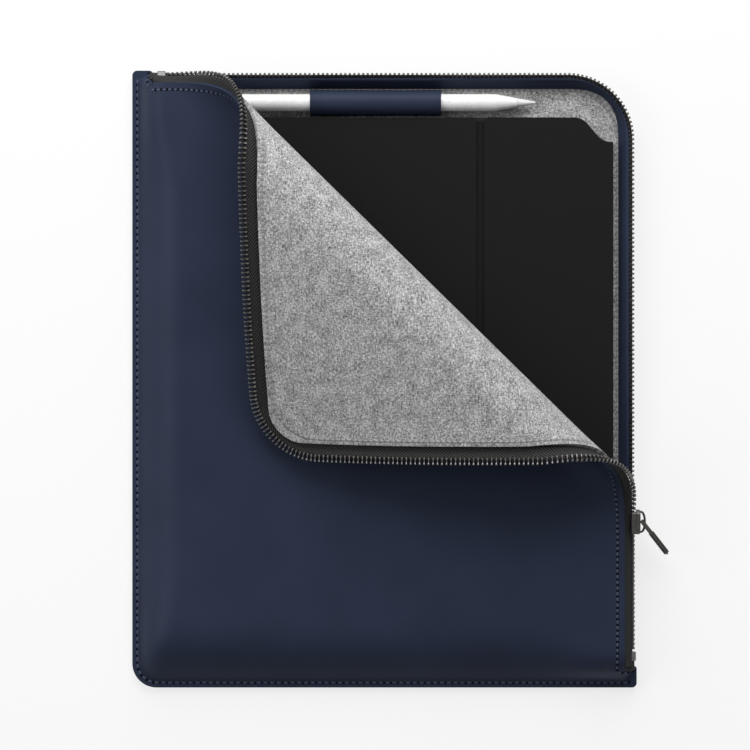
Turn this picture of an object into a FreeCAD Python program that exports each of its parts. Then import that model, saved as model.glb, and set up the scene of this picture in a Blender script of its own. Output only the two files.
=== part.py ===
"""Zip folio with a folded-back front corner, holding a tablet keyboard cover and a stylus.

The folio lies on its back: +X is the zipped side, +Y the zipped end, +Z up. The origin is on the
underside, at the middle of the folio. Lengths are millimetres, angles are degrees.
"""
import FreeCAD, Part
import Sketcher
import math
import os

Vector = FreeCAD.Vector
Rotation = FreeCAD.Rotation
Placement = FreeCAD.Placement

DIMENSIONS = {
    # folio
    "folio_width": 260,
    "folio_length": 318,
    "leather": 1.4,
    "felt": 2.6,
    "pocket_height": 12,
    "seam_margin": 3.2,
    "side_run": 9,
    "panel_inset": 7,
    "lining_inset": 11,
    "end_tab": 11,
    "seam_corner_radius": 12.5,
    "tab_corner_radius": 3,
    "fit_gap": 0.3,
    # zip, whose two halves meet along one line round the corner
    "zip_inset": 1.7,
    "zip_height": 13.6,
    "zip_corner_radius": 34.3,
    "back_zip_angle": 50,
    "front_zip_angle": 22,
    "tape": 0.8,
    "facing_inset": 9.2,
    "facing_foot": 1.8,
    "tooth_reach": 4,
    "tooth_thickness": 2,
    "tooth_length": 0.8,
    "tooth_pitch": 2.3,
    "tooth_seat": 0.1,
    "stop_length": 4,
    # folded-back corner
    "fold_bearing": 45.5,
    "fold_reach": 172.625,
    "fold_radius": 17,
    "flap_tilt": 16,
    "zip_ease": 15,
    "zip_slip": 1.6,
    "zip_flex": 8,
    # slider
    "slider_lead": 8.155,
    "slider_length": 12.9,
    "slider_wall": 1.1,
    "slider_gap": 1.9,
    "slider_mouth": 3.3,
    "nose_length": 1.6,
    "nose_height": 0.5,
    "bridge_width": 3,
    "bridge_wall": 0.9,
    "bridge_height": 1.9,
    "pull_length": 21,
    "pull_width": 7,
    "pull_thickness": 2.4,
    "pull_neck": 6,
    "pull_pin": 1.1,
    "pull_angle": -55,
    # stylus and its loop
    "stylus_diameter": 8.9,
    "stylus_length": 166,
    "stylus_side_gap": 52.4,
    "stylus_end_gap": 16.9,
    "stylus_taper": 20.6,
    "stylus_nib": 9.5,
    "nib_tip_radius": 0.6,
    "nib_joint": 0.15,
    "stylus_end_radius": 3.5,
    "loop_setback": 115.9,
    "loop_length": 67.3,
    "loop_wall": 1.2,
    "loop_wing": 0.7,
    # keyboard cover, whose size is what the folio leaves for it
    "cover_left_gap": 29.5,
    "cover_right_gap": 12.5,
    "cover_bottom_gap": 13.4,
    "cover_top_gap": 24.6,
    "cover_corner_radius": 6,
    "narrow_width": 68.4,
    "groove_width": 4,
    "groove_corner_radius": 2,
    "notch_width": 16.1,
    "notch_floor": 5.2,
    "notch_depth": 12.6,
    "notch_radius": 9,
    "base_thickness": 1.8,
    "membrane": 0.4,
    "deck_height": 2.4,
    "cover_lining": 0.3,
    "cover_panel": 2,
    "groove_web": 0.5,
    "spine_wall": 1,
    "magnet_diameter": 9,
    "magnet_thickness": 1,
    "magnet_inset": 9,
    "magnet_spacing": 62,
    "contact_diameter": 4,
    "contact_spacing": 9,
    "contact_inset": 24,
    # keys
    "key_gap": 3,
    "key_height": 1.4,
    "key_lift": 0.5,
    "key_side_gap": 20,
    "key_end_gap": 15,
}
KEY_ROWS = 5
KEY_COLUMNS = 13
SPACE_BAR_KEYS = 5
MAGNETS_PER_ROW = 4
CONTACT_COUNT = 3
FOLD_STEPS = 12

doc = FreeCAD.newDocument("keyboard_case")
sheet = doc.addObject("Spreadsheet::Sheet", "dims")
for row, (alias, size) in enumerate(DIMENSIONS.items(), start=1):
    sheet.set(f"A{row}", alias)
    sheet.set(f"B{row}", str(size))
    sheet.setAlias(f"B{row}", alias)
doc.recompute()

subparts = []


def number(expression):
    """Value of an expression over the sheet's cells."""
    return float(sheet.evalExpression(expression))


def keep(item, label):
    """Name a finished sub-part and put it on the list of files to write."""
    item.Label = label
    subparts.append(item)
    return item


# Shared places, written as expressions over the sheet

LEFT = "(-dims.folio_width / 2)"
RIGHT = "(dims.folio_width / 2)"
BOTTOM = "(-dims.folio_length / 2)"
TOP = "(dims.folio_length / 2)"
PANEL_RIGHT = f"({RIGHT} - dims.panel_inset)"
PANEL_TOP = f"({TOP} - dims.panel_inset)"
FLOOR = "(dims.leather + dims.felt)"
CEILING = f"({FLOOR} + dims.pocket_height)"
ROOF = f"({CEILING} + dims.felt)"
HEIGHT = f"({ROOF} + dims.leather)"
SEAM_TOP = "(2 * dims.leather)"
SIDE_RISE = f"({HEIGHT} - {SEAM_TOP})"
SIDE_SLANT = f"(sqrt({SIDE_RISE}^2 + dims.side_run^2) / {SIDE_RISE})"
FOLIO_SPAN = "(dims.folio_width + dims.folio_length)"
FOLD_LINE = f"({RIGHT} * cos(dims.fold_bearing) + {TOP} * sin(dims.fold_bearing) - dims.fold_reach)"
ZIP_LINE = f"({RIGHT} - dims.zip_inset)"
SLIDER_PLACE = (
    f"(({FOLD_LINE} - {ZIP_LINE} * cos(dims.fold_bearing)) / sin(dims.fold_bearing) + dims.slider_lead)"
)
STYLUS_TIP = f"({RIGHT} - dims.stylus_side_gap)"
STYLUS_ROW = f"({TOP} - dims.stylus_end_gap)"
LOOP_START = f"({STYLUS_TIP} - dims.loop_setback)"
COVER_LEFT = f"({LEFT} + dims.cover_left_gap)"
COVER_RIGHT = f"({RIGHT} - dims.cover_right_gap)"
COVER_BOTTOM = f"({BOTTOM} + dims.cover_bottom_gap)"
COVER_TOP = f"({TOP} - dims.cover_top_gap)"
COVER_LENGTH = f"({COVER_TOP} - {COVER_BOTTOM})"
COVER_BASE = f"({FLOOR} + dims.fit_gap)"
DECK_BASE = f"({COVER_BASE} + dims.base_thickness)"
LINING_BASE = f"({DECK_BASE} + dims.deck_height)"
COVER_PANEL_BASE = f"({LINING_BASE} + dims.cover_lining)"
COVER_ROOF = f"({COVER_PANEL_BASE} + dims.cover_panel)"
GROOVE_LEFT = f"({COVER_RIGHT} - dims.narrow_width - dims.groove_width / 2)"
GROOVE_RIGHT = f"({COVER_RIGHT} - dims.narrow_width + dims.groove_width / 2)"
KEY_PITCH = f"(({COVER_LENGTH} - 2 * dims.key_end_gap - dims.key_gap) / {KEY_COLUMNS})"


def side_wall(edge, height, depth):
    """Place of the slanted front wall at a height, a given depth below its outer face."""
    rise = f"dims.side_run * ({height} - {SEAM_TOP}) / {SIDE_RISE}"
    return f"({edge} + dims.seam_margin + {rise} + ({depth}) * {SIDE_SLANT})"


# Drawing helpers

def new_body(name):
    return doc.addObject("PartDesign::Body", name)


def new_sketch(body, name, plane, offset="0"):
    """Sketch on one of the body's own origin planes, moved along that plane's normal."""
    drawing = body.newObject("Sketcher::SketchObject", name)
    support = next(item for item in body.Origin.OriginFeatures if item.Role == plane)
    drawing.AttachmentSupport = [(support, "")]
    drawing.MapMode = "FlatFace"
    drawing.setExpression("AttachmentOffset.Base.z", offset)
    return drawing


def fix(drawing, kind, geometry, expression):
    """Add one dimension to a sketch and bind it to an expression."""
    index = drawing.addConstraint(Sketcher.Constraint(kind, *geometry, number(expression)))
    drawing.setExpression(f"Constraints[{index}]", expression)


def draw_outline(drawing, points):
    """Closed outline of straight lines through points given as pairs of expressions."""
    corners = [Vector(number(across), number(along), 0) for across, along in points]
    first = drawing.GeometryCount
    count = len(corners)
    for index in range(count):
        drawing.addGeometry(Part.LineSegment(corners[index], corners[(index + 1) % count]), False)
    for index in range(count):
        joined = (first + index, 2, first + (index + 1) % count, 1)
        drawing.addConstraint(Sketcher.Constraint("Coincident", *joined))
    for index, (across, along) in enumerate(points):
        fix(drawing, "DistanceX", (-1, 1, first + index, 1), across)
        fix(drawing, "DistanceY", (-1, 1, first + index, 1), along)


def draw_circle(drawing, across, along, diameter):
    """Full circle whose centre and diameter are expressions."""
    centre = Vector(number(across), number(along), 0)
    circle = drawing.addGeometry(Part.Circle(centre, Vector(0, 0, 1), number(diameter) / 2), False)
    fix(drawing, "DistanceX", (-1, 1, circle, 3), across)
    fix(drawing, "DistanceY", (-1, 1, circle, 3), along)
    fix(drawing, "Diameter", (circle,), diameter)


def pad(body, drawing, length, side="One side"):
    feature = body.newObject("PartDesign::Pad", f"{drawing.Name}_pad")
    feature.Profile = drawing
    feature.SideType = side
    feature.setExpression("Length", length)
    doc.recompute()
    return feature


def cut_through(body, drawing):
    feature = body.newObject("PartDesign::Pocket", f"{drawing.Name}_cut")
    feature.Profile = drawing
    feature.SideType = "Symmetric"
    feature.Type = "ThroughAll"
    doc.recompute()
    return feature


def round_upright_edges(body, feature, corners, radius):
    """Fillet the upright edges that stand on the given plan corners."""
    wanted = [(number(across), number(along)) for across, along in corners]
    edges = []
    for index, edge in enumerate(feature.Shape.Edges, start=1):
        middle = edge.CenterOfMass
        upright = abs(edge.BoundBox.ZLength - edge.Length) < 1e-6
        if upright and any(math.hypot(middle.x - x, middle.y - y) < 1e-3 for x, y in wanted):
            edges.append(f"Edge{index}")
    fillet = body.newObject("PartDesign::Fillet", f"{feature.Name}_round")
    fillet.Base = (feature, edges)
    fillet.setExpression("Radius", radius)
    doc.recompute()
    return fillet


def prism(name, points, base, thickness):
    """Body with one straight-sided plan outline, standing between two heights."""
    body = new_body(name)
    drawing = new_sketch(body, f"{name}_outline", "XY_Plane", base)
    draw_outline(drawing, points)
    return body, pad(body, drawing, thickness)


def rectangle(left, bottom, right, top):
    return [(left, bottom), (right, bottom), (right, top), (left, top)]


def bind(item, **expressions):
    for name, expression in expressions.items():
        item.setExpression(name, expression)


def box(name, place, sizes):
    """Block from a corner and three sizes, all expressions."""
    item = doc.addObject("Part::Box", name)
    bind(item, Length=sizes[0], Width=sizes[1], Height=sizes[2])
    for axis, expression in zip("xyz", place):
        item.setExpression(f"Placement.Base.{axis}", expression)
    return item


def disc(name, place, diameter, height):
    item = doc.addObject("Part::Cylinder", name)
    bind(item, Radius=f"{diameter} / 2", Height=height)
    for axis, expression in zip("xyz", place):
        item.setExpression(f"Placement.Base.{axis}", expression)
    return item


def combine(kind, name, base, tool):
    item = doc.addObject(f"Part::{kind}", name)
    item.Base = base
    item.Tool = tool
    doc.recompute()
    return item


def group(name, items):
    """Several separate solids under one name."""
    item = doc.addObject("Part::Compound", name)
    item.Links = items
    doc.recompute()
    return item


# Folio panels

def panel_outline():
    """Plan of a leather panel, with the two end tabs that cover the zip's ends."""
    tab_right = f"({BOTTOM} + dims.end_tab)"
    tab_top = f"({LEFT} + dims.end_tab)"
    return [
        (LEFT, BOTTOM), (RIGHT, BOTTOM), (RIGHT, tab_right), (PANEL_RIGHT, tab_right),
        (PANEL_RIGHT, PANEL_TOP), (tab_top, PANEL_TOP), (tab_top, TOP), (LEFT, TOP),
    ]


def corner_radius_at(inset):
    """Radius of the zipped corner at a distance in from the folio's outer edge."""
    return f"dims.zip_corner_radius + dims.zip_inset - {inset}"


def leather_panel(name, base, thickness):
    body, feature = prism(name, panel_outline(), base, thickness)
    feature = round_upright_edges(body, feature, [(LEFT, BOTTOM)], "dims.seam_corner_radius")
    tab_corners = [(RIGHT, BOTTOM), (LEFT, TOP)]
    feature = round_upright_edges(body, feature, tab_corners, "dims.tab_corner_radius")
    zip_radius = corner_radius_at("dims.panel_inset")
    feature = round_upright_edges(body, feature, [(PANEL_RIGHT, PANEL_TOP)], zip_radius)
    return body


def make_back_panel():
    keep(leather_panel("back_leather", "0", "dims.leather"), "back_panel")


def make_back_lining():
    """Felt sheet on the back panel, inside the seams and the zip tape."""
    seam = side_wall("0", FLOOR, FLOOR)
    edge = "(dims.panel_inset + dims.tape + dims.fit_gap)"
    left = f"({LEFT} + {seam} + dims.fit_gap)"
    bottom = f"({BOTTOM} + {seam} + dims.fit_gap)"
    right = f"({RIGHT} - {edge})"
    top = f"({TOP} - {edge})"
    body, feature = prism("back_felt", rectangle(left, bottom, right, top), "dims.leather", "dims.felt")
    round_upright_edges(body, feature, [(right, top)], corner_radius_at(edge))
    keep(body, "back_lining")


def under_front(name, depth):
    """Space below the front panel, down to the back panel, a given depth inside its outer face."""
    low = "dims.leather"
    high = f"({HEIGHT} - {depth})"
    beyond = f"({RIGHT} + dims.panel_inset)"
    body = new_body(name)
    section = new_sketch(body, f"{name}_section", "XZ_Plane")
    draw_outline(section, [
        (side_wall(LEFT, low, depth), low), (beyond, low),
        (beyond, high), (side_wall(LEFT, high, depth), high),
    ])
    pad(body, section, f"2 * {FOLIO_SPAN}", "Symmetric")
    trim_front_end(body, f"{name}_end", depth)
    return body


def trim_front_end(body, name, depth):
    """Cut away what lies outside the slanted wall at the folio's lower end."""
    section = new_sketch(body, name, "YZ_Plane")
    outside = f"(-2 * {FOLIO_SPAN})"
    draw_outline(section, [
        (outside, f"-{HEIGHT}"), (side_wall(BOTTOM, f"-{HEIGHT}", depth), f"-{HEIGHT}"),
        (side_wall(BOTTOM, f"2 * {HEIGHT}", depth), f"2 * {HEIGHT}"), (outside, f"2 * {HEIGHT}"),
    ])
    cut_through(body, section)


def make_closed_front():
    """Front leather and felt as one closed sheet each, before the corner is folded back."""
    shell = leather_panel("front_block", "dims.leather", f"{HEIGHT} - dims.leather")
    over = f"2 * {HEIGHT}"
    for name, plane, edge in (("left", "XZ_Plane", LEFT), ("end", "YZ_Plane", BOTTOM)):
        slope = new_sketch(shell, f"front_{name}_slope", plane)
        outside = f"({edge} - dims.seam_margin)"
        draw_outline(slope, [
            (outside, SEAM_TOP), (side_wall(edge, SEAM_TOP, "0"), SEAM_TOP),
            (side_wall(edge, over, "0"), over), (outside, over),
        ])
        cut_through(shell, slope)
    under_leather = under_front("under_leather", "dims.leather")
    under_felt = under_front("under_felt", FLOOR)
    leather = combine("Cut", "front_leather_closed", shell, under_leather)
    right = f"({RIGHT} - dims.lining_inset)"
    top = f"({TOP} - dims.lining_inset)"
    plan, feature = prism("front_felt_plan", rectangle(LEFT, BOTTOM, right, top), "0", HEIGHT)
    round_upright_edges(plan, feature, [(right, top)], corner_radius_at("dims.lining_inset"))
    filled = combine("Common", "front_felt_filled", under_leather, plan)
    felt = combine("Cut", "front_felt_closed", filled, under_felt)
    return leather, felt


# The fold: a roll of constant radius whose axis lies across the corner

FOLD_ANGLE = math.radians(number("dims.fold_bearing"))
FOLD_OUT = Vector(math.cos(FOLD_ANGLE), math.sin(FOLD_ANGLE), 0)
FOLD_ALONG = Vector(math.sin(FOLD_ANGLE), -math.cos(FOLD_ANGLE), 0)
FOLD_START = number(FOLD_LINE)
FOLD_RADIUS = number("dims.fold_radius")
FOLD_TURN = math.pi + math.radians(number("dims.flap_tilt"))
FOLD_LENGTH = FOLD_RADIUS * FOLD_TURN
FOLD_CENTRE_HEIGHT = number(f"{HEIGHT} - (dims.leather + dims.felt) / 2") + FOLD_RADIUS
FOLD_CENTRE = FOLD_OUT * FOLD_START + Vector(0, 0, FOLD_CENTRE_HEIGHT)
ZIP_ROLL_RADIUS = FOLD_CENTRE_HEIGHT - number("dims.zip_height")
ZIP_EASE = number("dims.zip_ease")


def sheet_turn(out):
    """Turn of the sheets on the roll, a distance past the line where the roll starts."""
    return out / FOLD_RADIUS


def zip_turn(out):
    """Turn of the zip, which stays with the closed zip at first and joins the sheets' turn later."""
    held_back = (1 - FOLD_RADIUS / ZIP_ROLL_RADIUS) * math.exp(-(out / ZIP_EASE) ** 2)
    return out / FOLD_RADIUS * (1 - held_back)


def rolled(out, turn):
    """Placement that carries a closed piece, a distance past the roll's start, to its turn on the roll."""
    slide = Placement(FOLD_OUT * -out, Rotation())
    roll = Placement(Vector(), Rotation(FOLD_ALONG, math.degrees(turn)), FOLD_CENTRE)
    return roll.multiply(slide)


FLAP_REST = rolled(FOLD_LENGTH, FOLD_TURN)


def half_space(name, near):
    """Large block on the corner's side of a line across the folio, at a distance from the origin."""
    block = box(name, ("0", "0", f"-{HEIGHT}"), (FOLIO_SPAN, f"2 * {FOLIO_SPAN}", f"4 * {HEIGHT}"))
    bearing = "dims.fold_bearing"
    block.Placement.Rotation = Rotation(Vector(0, 0, 1), number(bearing))
    block.setExpression("Placement.Rotation.Angle", bearing)
    block.setExpression("Placement.Base.x", f"({near}) * cos({bearing}) + {FOLIO_SPAN} * sin({bearing})")
    block.setExpression("Placement.Base.y", f"({near}) * sin({bearing}) - {FOLIO_SPAN} * cos({bearing})")
    return block


def split_at_fold(closed, fixed_name, flap_name):
    """Fixed part before the roll and flap part after it, the flap laid back to its place."""
    keep(combine("Cut", f"{closed.Name}_fixed", closed, beyond_fold_start), fixed_name)
    flap = combine("Common", f"{closed.Name}_flap", closed, beyond_fold_end)
    flap.Placement = FLAP_REST
    doc.recompute()
    keep(flap, flap_name)


def edge_point(edge, inset, height, past, turn):
    """Point on the roll of a line along the zipped side or end, where it lies past the roll's start."""
    out = FOLD_START + past
    if edge == "side":
        x = number(f"{RIGHT} - ({inset})")
        y = (out - FOLD_OUT.x * x) / FOLD_OUT.y
    else:
        y = number(f"{TOP} - ({inset})")
        x = (out - FOLD_OUT.y * y) / FOLD_OUT.x
    along = FOLD_ALONG.dot(Vector(x, y, 0))
    radius = FOLD_CENTRE_HEIGHT - number(height)
    raised = FOLD_CENTRE_HEIGHT - radius * math.cos(turn)
    return FOLD_OUT * (FOLD_START + radius * math.sin(turn)) + FOLD_ALONG * along + Vector(0, 0, raised)


def roll_solid(profile, turn_at):
    """Strip that follows the roll. Each profile point is an edge, an inset from it and a height."""
    sections = []
    for step in range(FOLD_STEPS + 1):
        past = FOLD_LENGTH * step / FOLD_STEPS
        points = [edge_point(edge, inset, height, past, turn_at(past)) for edge, inset, height in profile]
        sections.append(Part.makePolygon(points + points[:1]))
    return Part.makeLoft(sections, True, True)


def make_rolled_sheets():
    sheets = (
        ("front_fold", "dims.panel_inset", ROOF, HEIGHT),
        ("lining_fold", "dims.lining_inset", CEILING, ROOF),
    )
    for label, inset, low, high in sheets:
        profile = [("end", inset, low), ("side", inset, low), ("side", inset, high), ("end", inset, high)]
        strip = doc.addObject("Part::Feature", label)
        strip.Shape = roll_solid(profile, sheet_turn)
        keep(strip, label)


# Zip: sections are drawn as an inset from the folio's outer edge and a height

BACK_RUN = "(dims.tooth_reach * cos(dims.back_zip_angle))"
BACK_RISE = "(dims.tooth_reach * sin(dims.back_zip_angle))"
FRONT_RISE = "(dims.tooth_reach * sin(dims.front_zip_angle))"
HALF_TOOTH = "(dims.tooth_thickness / 2)"


def back_tooth_root(side, pull_back="dims.tooth_seat"):
    """Point on the root face of a back tooth: -1 is its inner corner, 0 its middle, 1 its outer corner."""
    reach = f"(dims.tooth_reach + {pull_back})"
    offset = f"{side} * {HALF_TOOTH}"
    tilt = "dims.back_zip_angle"
    inset = f"(dims.zip_inset + {reach} * cos({tilt}) - {offset} * sin({tilt}))"
    height = f"(dims.zip_height - {reach} * sin({tilt}) - {offset} * cos({tilt}))"
    return inset, height


def front_tooth_root(side, pull_back="dims.tooth_seat"):
    """Point on the root face of a front tooth: -1 is its lower corner, 0 its middle, 1 its upper corner."""
    reach = f"(dims.tooth_reach + {pull_back})"
    offset = f"{side} * {HALF_TOOTH}"
    tilt = "dims.front_zip_angle"
    inset = f"(dims.zip_inset + {reach} * cos({tilt}) - {offset} * sin({tilt}))"
    height = f"(dims.zip_height + {reach} * sin({tilt}) + {offset} * cos({tilt}))"
    return inset, height


def back_tape_section():
    low = "dims.leather"
    return [
        ("(dims.panel_inset + dims.tape)", low), ("dims.panel_inset", low),
        back_tooth_root("1"), back_tooth_root("0"),
    ]


def facing_section():
    foot = "(dims.facing_inset - dims.facing_foot)"
    inset, height = back_tooth_root("0")
    return [
        ("dims.facing_inset", FLOOR), (foot, FLOOR),
        (f"({inset} + dims.tooth_seat)", height), back_tooth_root("-1"),
    ]


def front_tape_section(drop="0", slip="0"):
    """Tape from under the front leather's edge to the teeth, with room for its slip on the roll."""
    high = f"({ROOF} - {drop})"
    low = f"({high} - dims.tape)"
    inner = f"(dims.lining_inset - dims.fit_gap - {slip})"
    bend = "(dims.panel_inset + dims.fit_gap)"
    share = "(dims.tape / dims.tooth_thickness)"
    return [
        (inner, low), (f"({bend} + dims.tape)", low), front_tooth_root(f"(-{share})"),
        front_tooth_root(share), (bend, high), (inner, high),
    ]


def front_run_start():
    """Distance in from the seam where the front panel has reached its full height."""
    return f"({side_wall('0', ROOF, 'dims.leather')} + dims.fit_gap)"


def zip_run(name, section, start_gap):
    """Strip with a constant section along the zipped end, round the corner and down the zipped side."""
    body = new_body(name)
    path = new_sketch(body, f"{name}_path", "XY_Plane")
    start = (f"({LEFT} + {start_gap})", f"({TOP} - dims.zip_inset)")
    finish = (ZIP_LINE, f"({BOTTOM} + {start_gap})")
    start_x, start_y = (number(value) for value in start)
    finish_x, finish_y = (number(value) for value in finish)
    radius = number("dims.zip_corner_radius")
    centre = Vector(finish_x - radius, start_y - radius, 0)
    bend_start = Vector(centre.x, start_y, 0)
    bend_end = Vector(finish_x, centre.y, 0)
    path.addGeometry(Part.LineSegment(Vector(start_x, start_y, 0), bend_start), False)
    path.addGeometry(Part.ArcOfCircle(Part.Circle(centre, Vector(0, 0, 1), radius), 0, math.pi / 2), False)
    path.addGeometry(Part.LineSegment(bend_end, Vector(finish_x, finish_y, 0)), False)
    path.addConstraint(Sketcher.Constraint("Tangent", 0, 2, 1, 2))
    path.addConstraint(Sketcher.Constraint("Tangent", 1, 1, 2, 1))
    path.addConstraint(Sketcher.Constraint("Horizontal", 0))
    path.addConstraint(Sketcher.Constraint("Vertical", 2))
    fix(path, "Radius", (1,), "dims.zip_corner_radius")
    for geometry, point, place in ((0, 1, start), (2, 2, finish)):
        fix(path, "DistanceX", (-1, 1, geometry, point), place[0])
        fix(path, "DistanceY", (-1, 1, geometry, point), place[1])
    profile = new_sketch(body, f"{name}_section", "YZ_Plane", start[0])
    draw_outline(profile, [(f"({TOP} - {inset})", height) for inset, height in section])
    pipe = body.newObject("PartDesign::AdditivePipe", f"{name}_pipe")
    pipe.Profile = profile
    pipe.Spine = (path, ["Edge1", "Edge2", "Edge3"])
    doc.recompute()
    return body


def make_zip_tapes():
    keep(zip_run("back_tape_run", back_tape_section(), "dims.end_tab"), "zip_tape_back")
    keep(zip_run("facing_run", facing_section(), "dims.end_tab"), "zip_facing")
    front = zip_run("front_tape_run", front_tape_section(), front_run_start())
    split_at_fold(front, "zip_tape_front", "zip_tape_flap")
    strips = []
    for edge in ("end", "side"):
        section = front_tape_section("dims.fit_gap", "dims.zip_slip")
        profile = [(edge, inset, height) for inset, height in section]
        strips.append(roll_solid(profile, zip_turn))
    rolled_tape = doc.addObject("Part::Feature", "rolled_tape")
    rolled_tape.Shape = Part.makeCompound(strips)
    keep(rolled_tape, "zip_tape_fold")


def zip_point(distance):
    """Point of the line where the zip's halves meet, and its bearing, at a distance from its start."""
    start_x = number(f"{LEFT} + {front_run_start()} + dims.stop_length")
    top = number(f"{TOP} - dims.zip_inset")
    right = number(ZIP_LINE)
    radius = number("dims.zip_corner_radius")
    straight = right - radius - start_x
    bend = radius * math.pi / 2
    height = number("dims.zip_height")
    if distance < straight:
        return Vector(start_x + distance, top, height), 0
    if distance < straight + bend:
        angle = (distance - straight) / radius
        centre = Vector(right - radius, top - radius, height)
        return centre + Vector(math.sin(angle), math.cos(angle), 0) * radius, -angle
    return Vector(right, top - radius - (distance - straight - bend), height), -math.pi / 2


def zip_length():
    """Length of the toothed line, from the top stop to the bottom stop."""
    foot = number(f"{BOTTOM} + {front_run_start()} + dims.stop_length")
    start, _ = zip_point(0)
    right = number(ZIP_LINE)
    radius = number("dims.zip_corner_radius")
    return (right - radius - start.x) + radius * math.pi / 2 + (start.y - radius - foot)


def tooth_solid(tilt):
    """Tooth with its head at the origin, reaching inward, tilted about the zip's own line."""
    length = number("dims.tooth_length")
    reach = number("dims.tooth_reach")
    thickness = number("dims.tooth_thickness")
    solid = Part.makeBox(length, reach, thickness, Vector(-length / 2, -reach, -thickness / 2))
    solid.rotate(Vector(), Vector(1, 0, 0), tilt)
    return solid


def make_zip_teeth():
    """Both rows of teeth. The front row is shared out between the fixed panel, the roll and the flap.

    The first teeth of the flap go with the roll, since they shift against the back row as it closes.
    """
    back_tooth = tooth_solid(number("dims.back_zip_angle"))
    front_tooth = tooth_solid(-number("dims.front_zip_angle"))
    pitch = number("dims.tooth_pitch")
    count = int(zip_length() / pitch - 0.5)
    flexing = FOLD_LENGTH + number("dims.zip_flex")
    rows = {"zip_teeth_back": [], "zip_teeth_front": [], "zip_teeth_fold": [], "zip_teeth_flap": []}
    for index in range(count):
        point, bearing = zip_point((index + 0.25) * pitch)
        rows["zip_teeth_back"].append(placed_tooth(back_tooth, Placement(), point, bearing))
        point, bearing = zip_point((index + 0.75) * pitch)
        past = point.dot(FOLD_OUT) - FOLD_START
        if past < 0:
            label, carry = "zip_teeth_front", Placement()
        else:
            label = "zip_teeth_fold" if past < flexing else "zip_teeth_flap"
            carry = rolled(past, zip_turn(past)) if past < FOLD_LENGTH else FLAP_REST
        rows[label].append(placed_tooth(front_tooth, carry, point, bearing))
    for label, teeth in rows.items():
        row = doc.addObject("Part::Feature", label)
        row.Shape = Part.makeCompound(teeth)
        keep(row, label)


def placed_tooth(tooth, carry, point, bearing):
    along_zip = Placement(point, Rotation(Vector(0, 0, 1), math.degrees(bearing)))
    copy = tooth.copy()
    copy.Placement = carry.multiply(along_zip).multiply(copy.Placement)
    return copy


def stop_section():
    """Block round both rows, from root to root, just outside the line where they meet."""
    nose = f"(dims.zip_inset - {HALF_TOOTH})"
    return [
        back_tooth_root("-1", "0"), back_tooth_root("1", "0"), (nose, "dims.zip_height - dims.tape"),
        (nose, "dims.zip_height + dims.tape"), front_tooth_root("1", "0"), front_tooth_root("-1", "0"),
    ]


def make_zip_stops():
    start = f"({LEFT} + {front_run_start()})"
    top_stop = new_body("top_stop_block")
    drawing = new_sketch(top_stop, "top_stop_section", "YZ_Plane", start)
    draw_outline(drawing, [(f"({TOP} - {inset})", height) for inset, height in stop_section()])
    pad(top_stop, drawing, "dims.stop_length")
    keep(top_stop, "zip_top_stop")
    foot = f"({BOTTOM} + {front_run_start()} + dims.stop_length)"
    bottom_stop = new_body("bottom_stop_block")
    drawing = new_sketch(bottom_stop, "bottom_stop_section", "XZ_Plane", f"-{foot}")
    draw_outline(drawing, [(f"({RIGHT} - {inset})", height) for inset, height in stop_section()])
    pad(bottom_stop, drawing, "dims.stop_length")
    keep(bottom_stop, "zip_bottom_stop")


# Slider: a channel round the outside of the zip, open towards the folio

SLIDER_INSIDE = f"({ZIP_LINE} + dims.slider_gap)"
SLIDER_OUTSIDE = f"({SLIDER_INSIDE} + dims.slider_wall)"
SLIDER_TOP = f"({SLIDER_PLACE} + dims.slider_length / 2)"
SLIDER_BOTTOM = f"({SLIDER_PLACE} - dims.slider_length / 2)"
PIN_LINE = f"({SLIDER_OUTSIDE} + dims.bridge_height / 2)"


def make_slider():
    """Outer plate with a flange under the back teeth, one over the front teeth and a dividing nose."""
    body = new_body("slider_channel")
    low = f"(dims.zip_height - {BACK_RISE} - {HALF_TOOTH} - dims.fit_gap)"
    high = f"(dims.zip_height + {FRONT_RISE} + {HALF_TOOTH})"
    mouth = f"({high} + dims.slider_mouth)"
    low_face = f"({low} - dims.slider_wall)"
    high_face = f"({high} + dims.slider_wall)"
    mouth_face = f"({mouth} + dims.slider_wall)"
    plate = new_sketch(body, "slider_plate", "YZ_Plane", SLIDER_INSIDE)
    draw_outline(plate, [
        (SLIDER_BOTTOM, low_face), (SLIDER_TOP, low_face),
        (SLIDER_TOP, mouth_face), (SLIDER_BOTTOM, high_face),
    ])
    pad(body, plate, "dims.slider_wall")
    upper = new_sketch(body, "slider_upper_flange", "YZ_Plane", SLIDER_INSIDE)
    draw_outline(upper, [
        (SLIDER_BOTTOM, high), (SLIDER_TOP, mouth), (SLIDER_TOP, mouth_face), (SLIDER_BOTTOM, high_face),
    ])
    pad(body, upper, "dims.tooth_reach").Reversed = True
    lower = new_sketch(body, "slider_lower_flange", "YZ_Plane", SLIDER_INSIDE)
    draw_outline(lower, rectangle(SLIDER_BOTTOM, low_face, SLIDER_TOP, low))
    pad(body, lower, f"{BACK_RUN} + dims.fit_gap").Reversed = True
    nose = new_sketch(body, "slider_nose", "YZ_Plane", SLIDER_INSIDE)
    seat = f"(dims.zip_height + {HALF_TOOTH})"
    draw_outline(nose, [
        (SLIDER_TOP, seat), (SLIDER_TOP, f"({seat} + dims.nose_height)"),
        (f"({SLIDER_TOP} - dims.nose_length)", seat),
    ])
    pad(body, nose, "dims.slider_gap + dims.fit_gap").Reversed = True
    doc.recompute()
    keep(body, "slider_body")


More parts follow.
